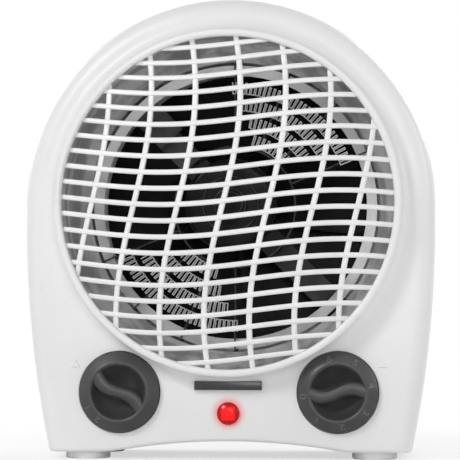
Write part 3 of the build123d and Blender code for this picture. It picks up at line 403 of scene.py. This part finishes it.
def add_glow(material, lamp, glow):
    """Red light of the pilot lamp on the panel round its lens."""
    tree = material.node_tree
    distance = size_of(tree, around_lamp(tree, lamp.height), "LENGTH", "ShaderNodeVectorMath")
    share = remap(tree, distance, lamp.radius * GLOW_FULL, lamp.radius * GLOW_END, COVER, 0.0, "SMOOTHSTEP")
    cover(tree, share, glow)


def add_seam_shade(material, half_width):
    """Painted shade: a dark line where the two shells meet, at the middle depth of the heater, for the shade
    in the gap between them.
    """
    tree = material.node_tree
    spot = axes(tree, node(tree, "ShaderNodeTexCoord").outputs["Object"])
    reach = size_of(tree, spot["Y"])
    share = remap(tree, reach, half_width * SEAM_SHADE_CORE, half_width, COVER, 0.0, "SMOOTHSTEP")
    cover(tree, share, SEAM_SHADE_COLOUR)


def lens_material(lamp):
    """Red lens with a lit square behind it."""
    material = finish("lamp_lens", lamp.glass, darker(lamp.glass, 0.85), 0.18, patch=600, gloss=0.25)
    tree = material.node_tree
    shader = tree.nodes["Principled BSDF"]
    spot = axes(tree, around_lamp(tree, lamp.height))
    reach = node(tree, "ShaderNodeMath", operation="MAXIMUM")
    tree.links.new(size_of(tree, spot["X"]), reach.inputs[0])
    tree.links.new(size_of(tree, spot["Z"]), reach.inputs[1])
    inside = remap(tree, reach.outputs["Value"], lamp.core * SQUARE_FULL, lamp.core * SQUARE_END, 1.0, 0.0,
                   "SMOOTHSTEP")
    colour = ramp(tree, inside, [(0.0, darker(lamp.glass, 0.3)), (1.0, lamp.lit)])
    tree.links.new(colour, shader.inputs["Emission Color"])
    set_inputs(shader, Emission_Strength=LIT_STRENGTH)
    return material


# Meshes

def piece(name, bm, body, material, replaced=(), sharp=38.0):
    """Closes a bmesh into an object at the origin that rides on a body."""
    bmesh.ops.remove_doubles(bm, verts=bm.verts, dist=WELD)
    bmesh.ops.recalc_face_normals(bm, faces=bm.faces)
    mesh = bpy.data.meshes.new(name)
    bm.to_mesh(mesh)
    bm.free()
    mesh.shade_smooth()
    mesh.set_sharp_from_angle(angle=math.radians(sharp))
    made = bpy.data.objects.new(name, mesh)
    bpy.context.scene.collection.objects.link(made)
    mesh.materials.append(material)
    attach(made, body)
    if replaced:
        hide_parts(*replaced)
    return made


def dress(material, *names):
    """Gives CAD nodes a material."""
    for name in names:
        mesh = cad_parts[name].data
        mesh.materials.clear()
        mesh.materials.append(material)


def spun(bm, profile, steps=96):
    """Spins points given as (radius, y) about the Y axis."""
    verts = [bm.verts.new((radius, y, 0)) for radius, y in profile]
    edges = [bm.edges.new(pair) for pair in zip(verts, verts[1:])]
    bmesh.ops.spin(bm, geom=verts + edges, cent=(0, 0, 0), axis=(0, 1, 0), angle=math.tau, steps=steps,
                   use_merge=True)


def straight_bar(reach, width, depth, edge_round, stations):
    """Bar along X, its face at y = 0, with rounded front edges, cut across at even stations."""
    bm = bmesh.new()
    bmesh.ops.create_cube(bm, size=1.0)
    bmesh.ops.scale(bm, vec=(2 * reach, depth, width), verts=bm.verts)
    bmesh.ops.translate(bm, vec=(0, depth / 2, 0), verts=bm.verts)
    front = [e for e in bm.edges if all(v.co.y < depth / 4 for v in e.verts) and e.calc_length() > reach]
    bmesh.ops.bevel(bm, geom=front, offset=edge_round, offset_type="OFFSET", segments=4, profile=0.5,
                    affect="EDGES", material=-1)
    for index in range(1, stations):
        cut = reach * (2 * index / stations - 1)
        whole = bm.verts[:] + bm.edges[:] + bm.faces[:]
        bmesh.ops.bisect_plane(bm, geom=whole, plane_co=(cut, 0, 0), plane_no=(1, 0, 0))
    return bm


def add_bar(target, bar, bend):
    """Moves a mesh vertex by vertex and adds it to another."""
    for vert in bar.verts:
        vert.co = bend(vert.co)
    mesh = bpy.data.meshes.new("bar")
    bar.to_mesh(mesh)
    bar.free()
    target.from_mesh(mesh)
    bpy.data.meshes.remove(mesh)


def chord(line, limit):
    """Ends of a wavy bar on a circle: the distances along it, each way, at which it meets the circle."""
    ends = []
    for side in (-1, 1):
        low, high = 0.0, limit
        for _ in range(HALVINGS):
            middle = (low + high) / 2
            if math.hypot(middle, line(side * middle)) < limit:
                low = middle
            else:
                high = middle
        ends.append(side * low)
    return ends


def wave(place, height, half, start):
    """Height of an S-curve at a place along a bar."""
    return height * math.sin(math.pi * (place - start) / half)


class HeaterPiece:
    bl_options = {"REGISTER", "UNDO"}


class HEATER_OT_housing(HeaterPiece, bpy.types.Operator):
    """Gives the two moulded shells their finish, with painted shade along the seam where they meet and the
    lamp's glow on the front one
    """
    bl_idname = "heater.housing"
    bl_label = "Housing shells"

    def execute(self, context):
        body = context.scene.heater_body
        front = finish("shell_front", body.shell, body.shell_low, 0.36, patch=14, grain=3200, relief=0.12)
        add_glow(front, context.scene.heater_lamp, body.glow)
        rear = finish("shell_rear", body.shell, body.shell_low, 0.38, patch=14, grain=3200, relief=0.12)
        for shell, name in ((front, "front_housing"), (rear, "rear_housing")):
            # Painted shade along the seam where the two shells meet
            add_seam_shade(shell, body.seam / 2)
            dress(shell, name)
        return {"FINISHED"}


class HEATER_OT_trim(HeaterPiece, bpy.types.Operator):
    """Adds the raised dial pointers and the plain trim plate on the front panel"""
    bl_idname = "heater.trim"
    bl_label = "Pointers and plain plate"

    def execute(self, context):
        body = context.scene.heater_body
        bm = bmesh.new()
        for side in (-1, 1):
            made = bmesh.ops.create_cone(bm, cap_ends=True, segments=3, radius1=body.pointer_size,
                                         radius2=body.pointer_size * POINTER_TAPER,
                                         depth=body.pointer_relief * 2)
            bmesh.ops.rotate(bm, verts=made["verts"], matrix=Matrix.Rotation(math.radians(90), 3, "X"))
            spot = (side * body.pointer_x, body.panel_y, body.pointer_z)
            bmesh.ops.translate(bm, verts=made["verts"], vec=spot)
        material = finish("pointer_mould", body.shell, body.shell_low, 0.34, patch=60)
        piece("dial_pointers", bm, "housing", material)
        bm = bmesh.new()
        bmesh.ops.create_cube(bm, size=1.0)
        depth = body.panel_y + PLATE_SINK - body.plate_front
        bmesh.ops.scale(bm, vec=(body.plate_width, depth, body.plate_height), verts=bm.verts)
        bmesh.ops.translate(bm, vec=(0, body.plate_front + depth / 2, body.plate_z), verts=bm.verts)
        front = [e for e in bm.edges if all(v.co.y < body.plate_front + depth / 4 for v in e.verts)]
        bmesh.ops.bevel(bm, geom=front, offset=body.plate_edge, segments=3, profile=0.5, affect="EDGES",
                        material=-1)
        material = finish("plain_plate", body.plate, darker(body.plate, 0.8), 0.3, patch=220, coat=0.3)
        piece("trim_plate", bm, "housing", material)
        return {"FINISHED"}


class HEATER_OT_outlet(HeaterPiece, bpy.types.Operator):
    """Builds the domed outlet grille of S-shaped bars"""
    bl_idname = "heater.outlet"
    bl_label = "Outlet grille"

    def execute(self, context):
        size = context.scene.heater_outlet
        axis = context.scene.heater_body.axis_height
        rise = size.rim_y - size.apex_y
        dome = (size.radius ** 2 + rise ** 2) / (2 * rise)
        limit = size.radius + size.ring_width / 2

        def dome_y(x, z, set_back):
            inner = dome - set_back
            return size.apex_y + dome - math.sqrt(inner ** 2 - min(x * x + z * z, limit ** 2))

        bm = bmesh.new()
        for index in range(-size.rib_side_count, size.rib_side_count + 1):
            height = dome * math.sin(index * size.rib_pitch / dome) + size.rib_lift

            def line(along):
                return height + wave(along, size.rib_wave, size.rib_half_wave, size.rib_start)

            first, last = chord(line, limit)
            bar = straight_bar((last - first) / 2, size.rib_width, size.rib_depth, size.edge_round,
                               RIB_STATIONS)

            def lay(co):
                x = co.x + (first + last) / 2
                z = line(x) + co.z
                return Vector((x, dome_y(x, z, 0) + co.y, axis + z))

            add_bar(bm, bar, lay)
        for index in range(-size.upright_side_count, size.upright_side_count + 1):
            shift = dome * math.sin(index * size.upright_pitch / dome) + size.upright_shift

            def line(along):
                return shift + wave(along, size.upright_wave, size.upright_half_wave, size.upright_start)

            first, last = chord(line, limit)
            bar = straight_bar((last - first) / 2, size.upright_width, size.upright_depth, size.edge_round,
                               UPRIGHT_STATIONS)

            def stand(co):
                z = co.x + (first + last) / 2
                x = line(z) + co.z
                return Vector((x, dome_y(x, z, size.upright_set_back) + co.y, axis + z))

            add_bar(bm, bar, stand)
        ring = bmesh.new()
        outer = size.radius + size.ring_width
        spun(ring, [(size.radius, size.ring_back), (size.radius, size.ring_front), (outer, size.ring_front),
                    (outer, size.ring_back), (size.radius, size.ring_back)], 128)
        add_bar(bm, ring, lambda co: co + Vector((0, 0, axis)))
        material = finish("outlet_bars", size.bars, size.bars_low, 0.34, patch=40, relief=0.1)
        piece("outlet_grille", bm, "housing", material, ["front_grille"], 45)
        return {"FINISHED"}


class HEATER_OT_intake(HeaterPiece, bpy.types.Operator):
    """Gives the intake grille at the back its finish"""
    bl_idname = "heater.intake"
    bl_label = "Intake grille"

    def execute(self, context):
        size = context.scene.heater_outlet
        dress(finish("intake_bars", size.bars, size.bars_low, 0.36, patch=40, relief=0.1), "rear_grille")
        return {"FINISHED"}


class HEATER_OT_dials(HeaterPiece, bpy.types.Operator):
    """Builds the two dials with their bowls, S-shaped grips and figures"""
    bl_idname = "heater.dials"
    bl_label = "Dials"

    def cone(self, size):
        """Inner and outer ends of the dial's cone, as (radius, y)."""
        inner = (size.bowl_radius + size.lip * 1.6, size.face_y + size.lip * 0.2)
        return inner, (size.radius - size.lip * 0.8, size.side_y - size.lip * 0.8)

    def dial(self, size):
        """Dial on the Y line through the origin, unturned."""
        bowl_y = size.face_y + size.bowl_depth
        curve = (size.bowl_radius ** 2 + size.bowl_depth ** 2) / (2 * size.bowl_depth)
        half = math.asin(size.bowl_radius / curve)
        bowl = []
        for index in range(BOWL_STEPS + 1):
            lean = half * (1 - index / BOWL_STEPS)
            bowl.append((curve * math.sin(lean), bowl_y - curve + curve * math.cos(lean)))
        top, foot = self.cone(size)
        edge = size.bowl_radius + size.lip
        bowl[0:1] = [top, (edge, size.face_y), (edge - size.lip * 0.6, size.face_y + size.lip * 0.12),
                     (edge - size.lip * 1.1, size.face_y + size.lip * 0.5)]
        profile = [(0, size.back_y), (size.radius, size.back_y), (size.radius, size.side_y),
                   (size.radius - size.lip * 0.3, size.side_y - size.lip * 0.5), foot, *bowl]
        profile[-1] = (0, profile[-1][1])
        bm = bmesh.new()
        spun(bm, profile)
        reach = size.bowl_radius + GRIP_OVERRUN
        bar = straight_bar(reach, size.grip_middle, size.bowl_depth, size.grip_round, 24)

        def bend(co):
            share = co.x / reach
            flare = 1 + (size.grip_end / size.grip_middle - 1) * share ** 2
            base = 1 + GRIP_FOOT * max(0.0, co.y / size.bowl_depth - GRIP_FOOT_START)
            z = co.z * flare * base + size.grip_wave * math.sin(math.pi * share)
            return Vector((co.x, size.face_y + size.lip * 0.2 + co.y, z))

        add_bar(bm, bar, bend)
        return bm

    def figures(self, size, marks, material, dial, side):
        """Thin figures lying on the dial's cone."""
        top, foot = self.cone(size)
        lean = math.atan2(foot[1] - top[1], foot[0] - top[0])
        y = top[1] + math.tan(lean) * (size.figure_radius - top[0])
        joined = bmesh.new()
        for text, degrees in marks:
            curve = bpy.data.curves.new("figure", "FONT")
            curve.body = text
            curve.size = size.figure_height
            curve.align_x = "CENTER"
            curve.align_y = "CENTER"
            curve.offset = -FIGURE_THINNING
            curve.extrude = FIGURE_THICKNESS
            made = bpy.data.objects.new("figure", curve)
            bpy.context.scene.collection.objects.link(made)
            bpy.context.view_layer.update()
            mesh = bpy.data.meshes.new_from_object(made)
            bpy.data.objects.remove(made)
            place = (Matrix.Translation((side * size.spread, 0, size.height))
                     @ Matrix.Rotation(-math.radians(degrees - 90), 4, "Y")
                     @ Matrix.Translation((0, y, size.figure_radius))
                     @ Matrix.Rotation(math.radians(90) - lean, 4, "X"))
            mesh.transform(place)
            joined.from_mesh(mesh)
            bpy.data.meshes.remove(mesh)
        piece(dial + "_figures", joined, dial + "_dial", material)

    def execute(self, context):
        size = context.scene.heater_dials
        material = finish("dial_plastic", size.body, size.body_low, 0.36, patch=90, grain=3600, relief=0.2,
                          depth=0.00003)
        # Figures lighter than the dial: painted highlight for the light on their edges
        figure_highlight = finish("dial_figures_highlight", size.figure, darker(size.figure, 0.8), 0.5, patch=900)
        layout = (("mode", -1, size.mode_turn, MODE_MARKS),
                  ("thermostat", 1, size.thermostat_turn, THERMOSTAT_MARKS))
        for name, side, angle, marks in layout:
            bm = self.dial(size)
            place = Matrix.Translation((side * size.spread, 0, size.height)) @ Matrix.Rotation(-angle, 4, "Y")
            bmesh.ops.transform(bm, matrix=place, verts=bm.verts)
            piece(name + "_dial", bm, name + "_dial", material, [name + "_knob"], 50)
            self.figures(size, marks, figure_highlight, name, side)
        steel = context.scene.heater_inside.steel
        dress(finish("dial_shafts", steel, steel, 0.3, stretch=(1, 6, 1), metallic=1.0),
              "mode_shaft", "thermostat_shaft")
        return {"FINISHED"}


class HEATER_OT_lamp(HeaterPiece, bpy.types.Operator):
    """Builds the lit pilot lamp"""
    bl_idname = "heater.lamp"
    bl_label = "Pilot lamp"

    def execute(self, context):
        lamp = context.scene.heater_lamp
        panel = context.scene.heater_body.panel_y
        bm = bmesh.new()
        dome = lamp.radius - LENS_EDGE
        profile = [(0, panel + LENS_EDGE), (lamp.radius, panel + LENS_EDGE),
                   (lamp.radius, panel - lamp.rim * 0.7), (dome, panel - lamp.rim)]
        for index in range(1, LENS_STEPS + 1):
            lean = math.pi / 2 * index / LENS_STEPS
            profile.append((dome * math.cos(lean), panel - lamp.rim - lamp.rise * math.sin(lean)))
        profile[-1] = (0, profile[-1][1])
        spun(bm, profile, 64)
        bmesh.ops.translate(bm, vec=(0, 0, lamp.height), verts=bm.verts)
        material = lens_material(lamp)
        piece("lamp_lens", bm, "housing", material)
        dress(material, "indicator_lens")
        dress(finish("lamp_body", lamp.glass, lamp.lit, 0.2), "indicator_lamp")
        return {"FINISHED"}


class HEATER_OT_element(HeaterPiece, bpy.types.Operator):
    """Builds the ribbons and the ring and finishes the mica plates and safety parts"""
    bl_idname = "heater.element"
    bl_label = "Heating element"

    def ribbon(self, size, axis, turned):
        """Rows of one ribbon, whose legs stand across the row, over a sector that narrows inwards."""
        bm = bmesh.new()
        for row in range(size.rows):
            radius = size.row_first + row * size.row_pitch
            over = size.overhang / radius
            inwards = size.rows - 1 - row
            start = size.sector_start + inwards * size.taper_start - over
            end = size.sector_end - inwards * size.taper_end + over
            legs = round((end - start) * radius / size.ribbon_pitch)
            line = []
            for index in range(legs + 1):
                angle = turned + start + (end - start) * index / legs
                for side in (-1, 1) if index % 2 else (1, -1):
                    reach = radius + size.ribbon_swing / 2 * side
                    spot = (reach * math.cos(angle), size.ribbon_y, axis + reach * math.sin(angle))
                    line.append(bm.verts.new(spot))
            edges = [bm.edges.new(pair) for pair in zip(line, line[1:])]
            made = bmesh.ops.extrude_edge_only(bm, edges=edges)
            moved = [v for v in made["geom"] if isinstance(v, bmesh.types.BMVert)]
            bmesh.ops.translate(bm, verts=moved, vec=(0, size.ribbon_width, 0))
        bmesh.ops.solidify(bm, geom=bm.faces[:], thickness=size.ribbon_sheet)
        return bm

    def ring(self, size, axis):
        """Ring with a flat face in front and a wall behind it."""
        bm = bmesh.new()
        face_back = size.ring_front + size.ring_sheet
        wall_inner = size.ring_wall - size.ring_sheet
        spun(bm, [(size.ring_inner, size.ring_front), (size.ring_outer, size.ring_front),
                  (size.ring_outer, face_back), (size.ring_wall, face_back),
                  (size.ring_wall, size.ring_back), (wall_inner, size.ring_back),
                  (wall_inner, face_back), (size.ring_inner, face_back),
                  (size.ring_inner, size.ring_front)], 128)
        bmesh.ops.translate(bm, vec=(0, 0, axis), verts=bm.verts)
        return bm

    def execute(self, context):
        size = context.scene.heater_inside
        axis = context.scene.heater_body.axis_height
        material = finish("ribbon_alloy", size.ribbon, darker(size.ribbon, 0.88), 0.25, patch=300)
        for name, turned in (("ribbon_upper", 0.0), ("ribbon_lower", size.sector_turn)):
            bm = self.ribbon(size, axis, turned)
            piece(name + "_folds", bm, "housing", material, [name], 20)
        # Dark patches at random over the ring stand in for its uneven reflections: painted reflection
        ring_painted_reflection = finish("ring_steel", size.ring, darker(size.ring, 0.55), 0.3, patch=14, metallic=0.15,
                        contrast=(0.42, 0.6))
        piece("ring_band", self.ring(size, axis), "housing", ring_painted_reflection, ["element_ring"], 40)
        mica = finish("mica_sheet", size.mica, darker(size.mica, 0.5), 0.45, patch=260, contrast=(0.4, 0.6),
                      relief=0.4)
        dress(mica, "mica_plates", "mica_inner_band")
        steel = finish("safety_steel", darker(size.steel, 0.1), darker(size.steel, 0.07), 0.4, metallic=0.5)
        dress(steel, "cutout_bracket", "thermal_cutout", "thermal_fuse")
        return {"FINISHED"}


class HEATER_OT_duct(HeaterPiece, bpy.types.Operator):
    """Gives the sheet metal air duct its streaked finish"""
    bl_idname = "heater.duct"
    bl_label = "Air duct"

    def execute(self, context):
        size = context.scene.heater_inside
        sheet = finish("duct_sheet", size.duct, size.duct_low, 0.42, patch=26, stretch=(2.2, 2.2, 0.7),
                       metallic=0.1, contrast=(0.38, 0.62))
        dress(sheet, "air_duct")
        return {"FINISHED"}


class HEATER_OT_motor(HeaterPiece, bpy.types.Operator):
    """Finishes the motor and rounds the edges of its cap"""
    bl_idname = "heater.motor"
    bl_label = "Motor"

    def beads(self, size, axis, material):
        """Rounded, polished edges of the cap's step, nose and dimple."""
        bm = bmesh.new()
        turns = [math.tau * index / BEAD_SIDES for index in range(BEAD_SIDES)] + [0.0]
        edges = ((size.cap_step, size.cap_step_y), (size.cap_nose, size.cap_nose_y),
                 (size.cap_dimple, size.cap_nose_y))
        for radius, y in edges:
            bead = bmesh.new()
            spun(bead, [(radius + size.bead * math.cos(a), y + size.bead * math.sin(a)) for a in turns])
            add_bar(bm, bead, lambda co: co + Vector((0, 0, axis)))
        piece("cap_beads", bm, "housing", material)

    def execute(self, context):
        size = context.scene.heater_inside
        polish = finish("cap_polish", size.black, size.black, 0.12, patch=200)
        self.beads(size, context.scene.heater_body.axis_height, polish)
        cap = finish("motor_cap", size.black, darker(size.black, 0.6), 0.2, patch=200, gloss=0.16)
        dress(cap, "motor_cap")
        steel = finish("motor_steel", size.steel, darker(size.steel, 0.75), 0.32, patch=60, metallic=0.9)
        dress(steel, "motor_can", "motor_end_bell", "motor_shaft")
        dark = finish("bracket_steel", darker(size.steel, 0.12), darker(size.steel, 0.08), 0.45, patch=60,
                      metallic=0.6)
        dress(dark, "motor_bracket")
        bronze = finish("bush_bronze", size.brass, darker(size.brass, 0.7), 0.4, patch=500, metallic=0.9)
        dress(bronze, "motor_bushes")
        ferrite = finish("ferrite", size.phenolic, darker(size.phenolic, 0.6), 0.6, patch=500)
        dress(ferrite, "motor_magnets", "motor_brushes")
        sheets = finish("core_sheets", darker(size.steel, 0.4), darker(size.steel, 0.2), 0.5,
                        stretch=(1, 60, 1), metallic=0.7)
        dress(sheets, "armature_core")
        wire = finish("copper_wire", size.copper, darker(size.copper, 0.6), 0.32, patch=400,
                      stretch=(1, 1, 9), metallic=0.8)
        dress(wire, "armature_winding", "commutator")
        board = finish("board_laminate", size.board, darker(size.board, 0.7), 0.4, patch=500)
        dress(board, "rectifier_board")
        return {"FINISHED"}


class HEATER_OT_fan(HeaterPiece, bpy.types.Operator):
    """Builds the five-bladed fan"""
    bl_idname = "heater.fan"
    bl_label = "Fan"

    def blade(self, size):
        """First blade about the Y axis: a grid laid from the hub to the tips, then given its thickness."""
        bm = bmesh.new()
        bmesh.ops.create_grid(bm, x_segments=14, y_segments=8, size=0.5)
        root = size.hub_radius - BLADE_ROOT
        middle_y = size.fan_front + size.fan_depth / 2
        for vert in bm.verts:
            along, out = vert.co.x, vert.co.y + 0.5
            radius = root + (size.tip_radius - root) * out
            sweep = size.blade_sweep * (1 - BLADE_FLARE + BLADE_FLARE * out)
            angle = size.blade_phase + sweep * along + size.blade_sweep * BLADE_LEAN * out
            climb = (size.fan_depth - 2 * size.blade_sheet) * (1 - BLADE_FLATTENING * out)
            y = middle_y + climb * along + BLADE_BOW * math.cos(math.pi * along)
            vert.co = Vector((radius * math.cos(angle), y, radius * math.sin(angle)))
        bmesh.ops.solidify(bm, geom=bm.faces[:], thickness=size.blade_sheet)
        return bm

    def execute(self, context):
        size = context.scene.heater_inside
        axis = context.scene.heater_body.axis_height
        back = size.fan_front + size.fan_depth
        bm = bmesh.new()
        spun(bm, [(size.shaft_radius, size.fan_front), (size.hub_radius - HUB_EDGE, size.fan_front),
                  (size.hub_radius, size.fan_front + HUB_EDGE), (size.hub_radius, back),
                  (size.shaft_radius, back), (size.shaft_radius, size.fan_front)], 64)
        for index in range(size.blade_count):
            spin = Matrix.Rotation(math.tau * index / size.blade_count, 4, "Y")
            add_bar(bm, self.blade(size), lambda co: spin @ co)
        bmesh.ops.translate(bm, vec=(0, 0, axis), verts=bm.verts)
        material = finish("fan_plastic", size.black, darker(size.black, 0.6), 0.34, patch=120, gloss=0.1)
        piece("fan_wheel", bm, "fan", material, ["fan_impeller"], 40)
        dress(finish("fan_clip_steel", size.steel, darker(size.steel, 0.8), 0.3, metallic=0.9), "fan_clip")
        return {"FINISHED"}


class HEATER_OT_controls(HeaterPiece, bpy.types.Operator):
    """Finishes the switch, the thermostat and the terminal block"""
    bl_idname = "heater.controls"
    bl_label = "Controls and supply"

    def execute(self, context):
        size = context.scene.heater_inside
        dress(finish("phenolic", size.phenolic, darker(size.phenolic, 0.7), 0.5, patch=300, relief=0.4),
              "mode_switch", "thermostat")
        dress(finish("bimetal", size.brass, size.steel, 0.35, patch=200, metallic=0.9), "thermostat_bimetal")
        dress(finish("block_nylon", size.block, darker(size.block, 0.9), 0.4, patch=200), "terminal_block")
        gland = finish("gland_nylon", size.black, darker(size.black, 1.8), 0.45, patch=200, relief=0.3)
        dress(gland, "cord_gland")
        return {"FINISHED"}


class HEATER_OT_feet(HeaterPiece, bpy.types.Operator):
    """Finishes the four feet"""
    bl_idname = "heater.feet"
    bl_label = "Feet"

    def execute(self, context):
        body = context.scene.heater_body
        rubber = finish("foot_rubber", body.feet, darker(body.feet, 0.92), 0.55, patch=160, grain=1800,
                        relief=0.3)
        dress(rubber, *[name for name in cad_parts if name.startswith("foot_")])
        return {"FINISHED"}


class HEATER_OT_screws(HeaterPiece, bpy.types.Operator):
    """Finishes the screws"""
    bl_idname = "heater.screws"
    bl_label = "Screws"

    def execute(self, context):
        steel = context.scene.heater_inside.steel
        dress(finish("screw_zinc", steel, darker(steel, 0.75), 0.3, patch=500, metallic=0.9),
              *[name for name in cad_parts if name.endswith("_screws")])
        return {"FINISHED"}


class HEATER_OT_stage(HeaterPiece, bpy.types.Operator):
    """Sets the floor, the light and the camera"""
    bl_idname = "heater.stage"
    bl_label = "Stage"

    def floor(self, stage):
        """Paper floor that the camera sees as white away from the heater."""
        bm = bmesh.new()
        bmesh.ops.create_grid(bm, x_segments=2, y_segments=2, size=FLOOR_REACH)
        mesh = bpy.data.meshes.new("floor")
        bm.to_mesh(mesh)
        bm.free()
        made = bpy.data.objects.new("floor", mesh)
        bpy.context.scene.collection.objects.link(made)
        material = finish("floor_paper", stage.floor, stage.floor, 0.9, patch=3)
        tree = material.node_tree
        shader = tree.nodes["Principled BSDF"]
        spot = node(tree, "ShaderNodeTexCoord").outputs["Object"]
        distance = size_of(tree, spot, "LENGTH", "ShaderNodeVectorMath")
        far = remap(tree, distance, FLOOR_NEAR, FLOOR_FAR, FLOOR_WHITE_NEAR, 1.0, "SMOOTHSTEP")
        path = node(tree, "ShaderNodeLightPath")
        seen = node(tree, "ShaderNodeMath", operation="MULTIPLY")
        tree.links.new(far, seen.inputs[0])
        tree.links.new(path.outputs["Is Camera Ray"], seen.inputs[1])
        white = set_inputs(node(tree, "ShaderNodeEmission"), Strength=1.0)
        mix = node(tree, "ShaderNodeMixShader")
        tree.links.new(seen.outputs["Value"], mix.inputs["Fac"])
        tree.links.new(shader.outputs["BSDF"], mix.inputs[1])
        tree.links.new(white.outputs["Emission"], mix.inputs[2])
        tree.links.new(mix.outputs["Shader"], tree.nodes["Material Output"].inputs["Surface"])
        mesh.materials.append(material)

    def sky(self, stage):
        """Even light all round, seen as white by the camera and in reflections."""
        world = bpy.data.worlds.new("studio")
        bpy.context.scene.world = world
        world.use_nodes = True
        tree = world.node_tree
        plain = tree.nodes["Background"]
        set_inputs(plain, Color=(1, 1, 1, 1), Strength=stage.sky)
        white = set_inputs(node(tree, "ShaderNodeBackground"), Color=(1, 1, 1, 1), Strength=1.0)
        path = node(tree, "ShaderNodeLightPath")
        seen = path.outputs["Is Camera Ray"]
        for kind in ("Is Glossy Ray", "Is Transmission Ray"):
            either = node(tree, "ShaderNodeMath", operation="MAXIMUM")
            tree.links.new(seen, either.inputs[0])
            tree.links.new(path.outputs[kind], either.inputs[1])
            seen = either.outputs["Value"]
        mix = node(tree, "ShaderNodeMixShader")
        tree.links.new(seen, mix.inputs["Fac"])
        tree.links.new(plain.outputs["Background"], mix.inputs[1])
        tree.links.new(white.outputs["Background"], mix.inputs[2])
        tree.links.new(mix.outputs["Shader"], tree.nodes["World Output"].inputs["Surface"])

    def lamp(self, name, place, width, power):
        light = bpy.data.lights.new(name, "AREA")
        light.shape = "DISK"
        light.size = width
        light.energy = power
        made = bpy.data.objects.new(name, light)
        bpy.context.scene.collection.objects.link(made)
        made.location = place
        made.rotation_euler = (LAMP_AIM - Vector(place)).to_track_quat("-Z", "Y").to_euler()

    def execute(self, context):
        stage = context.scene.heater_stage
        scene = context.scene
        scene.view_settings.view_transform = "Standard"
        self.floor(stage)
        self.sky(stage)
        for name, spot, width, source, share in LAMPS:
            self.lamp(name, spot, width, getattr(stage, source) * share)
        camera = bpy.data.cameras.new("camera")
        camera.lens = stage.lens
        camera.sensor_width = SENSOR_WIDTH
        made = bpy.data.objects.new("camera", camera)
        scene.collection.objects.link(made)
        made.location = stage.camera
        aim = Vector(stage.target) - Vector(stage.camera)
        made.rotation_euler = aim.to_track_quat("-Z", "Y").to_euler()
        scene.camera = made
        return {"FINISHED"}


OPERATORS = (
    HEATER_OT_stage, HEATER_OT_housing, HEATER_OT_trim, HEATER_OT_outlet, HEATER_OT_intake, HEATER_OT_dials,
    HEATER_OT_lamp, HEATER_OT_duct, HEATER_OT_element, HEATER_OT_motor, HEATER_OT_fan, HEATER_OT_controls,
    HEATER_OT_feet, HEATER_OT_screws,
)
GROUPS = {
    "heater_body": HeaterBody, "heater_outlet": HeaterOutlet, "heater_dials": HeaterDials,
    "heater_lamp": HeaterLamp, "heater_inside": HeaterInside, "heater_stage": HeaterStage,
}


class HEATER_PT_panel(bpy.types.Panel):
    bl_idname = "HEATER_PT_panel"
    bl_label = "Fan heater"
    bl_space_type = "VIEW_3D"
    bl_region_type = "UI"
    bl_category = "Heater"

    def draw(self, context):
        for operator in OPERATORS:
            self.layout.operator(operator.bl_idname)


def register():
    for name, group in GROUPS.items():
        bpy.utils.register_class(group)
        setattr(bpy.types.Scene, name, PointerProperty(type=group))
    for cls in (*OPERATORS, HEATER_PT_panel):
        bpy.utils.register_class(cls)


def unregister():
    for cls in (HEATER_PT_panel, *reversed(OPERATORS)):
        bpy.utils.unregister_class(cls)
    for name, group in reversed(GROUPS.items()):
        delattr(bpy.types.Scene, name)
        bpy.utils.unregister_class(group)


def main():
    register()
    for operator in OPERATORS:
        getattr(bpy.ops.heater, operator.bl_idname.split(".")[1])()


if __name__ == "__main__":
    main()
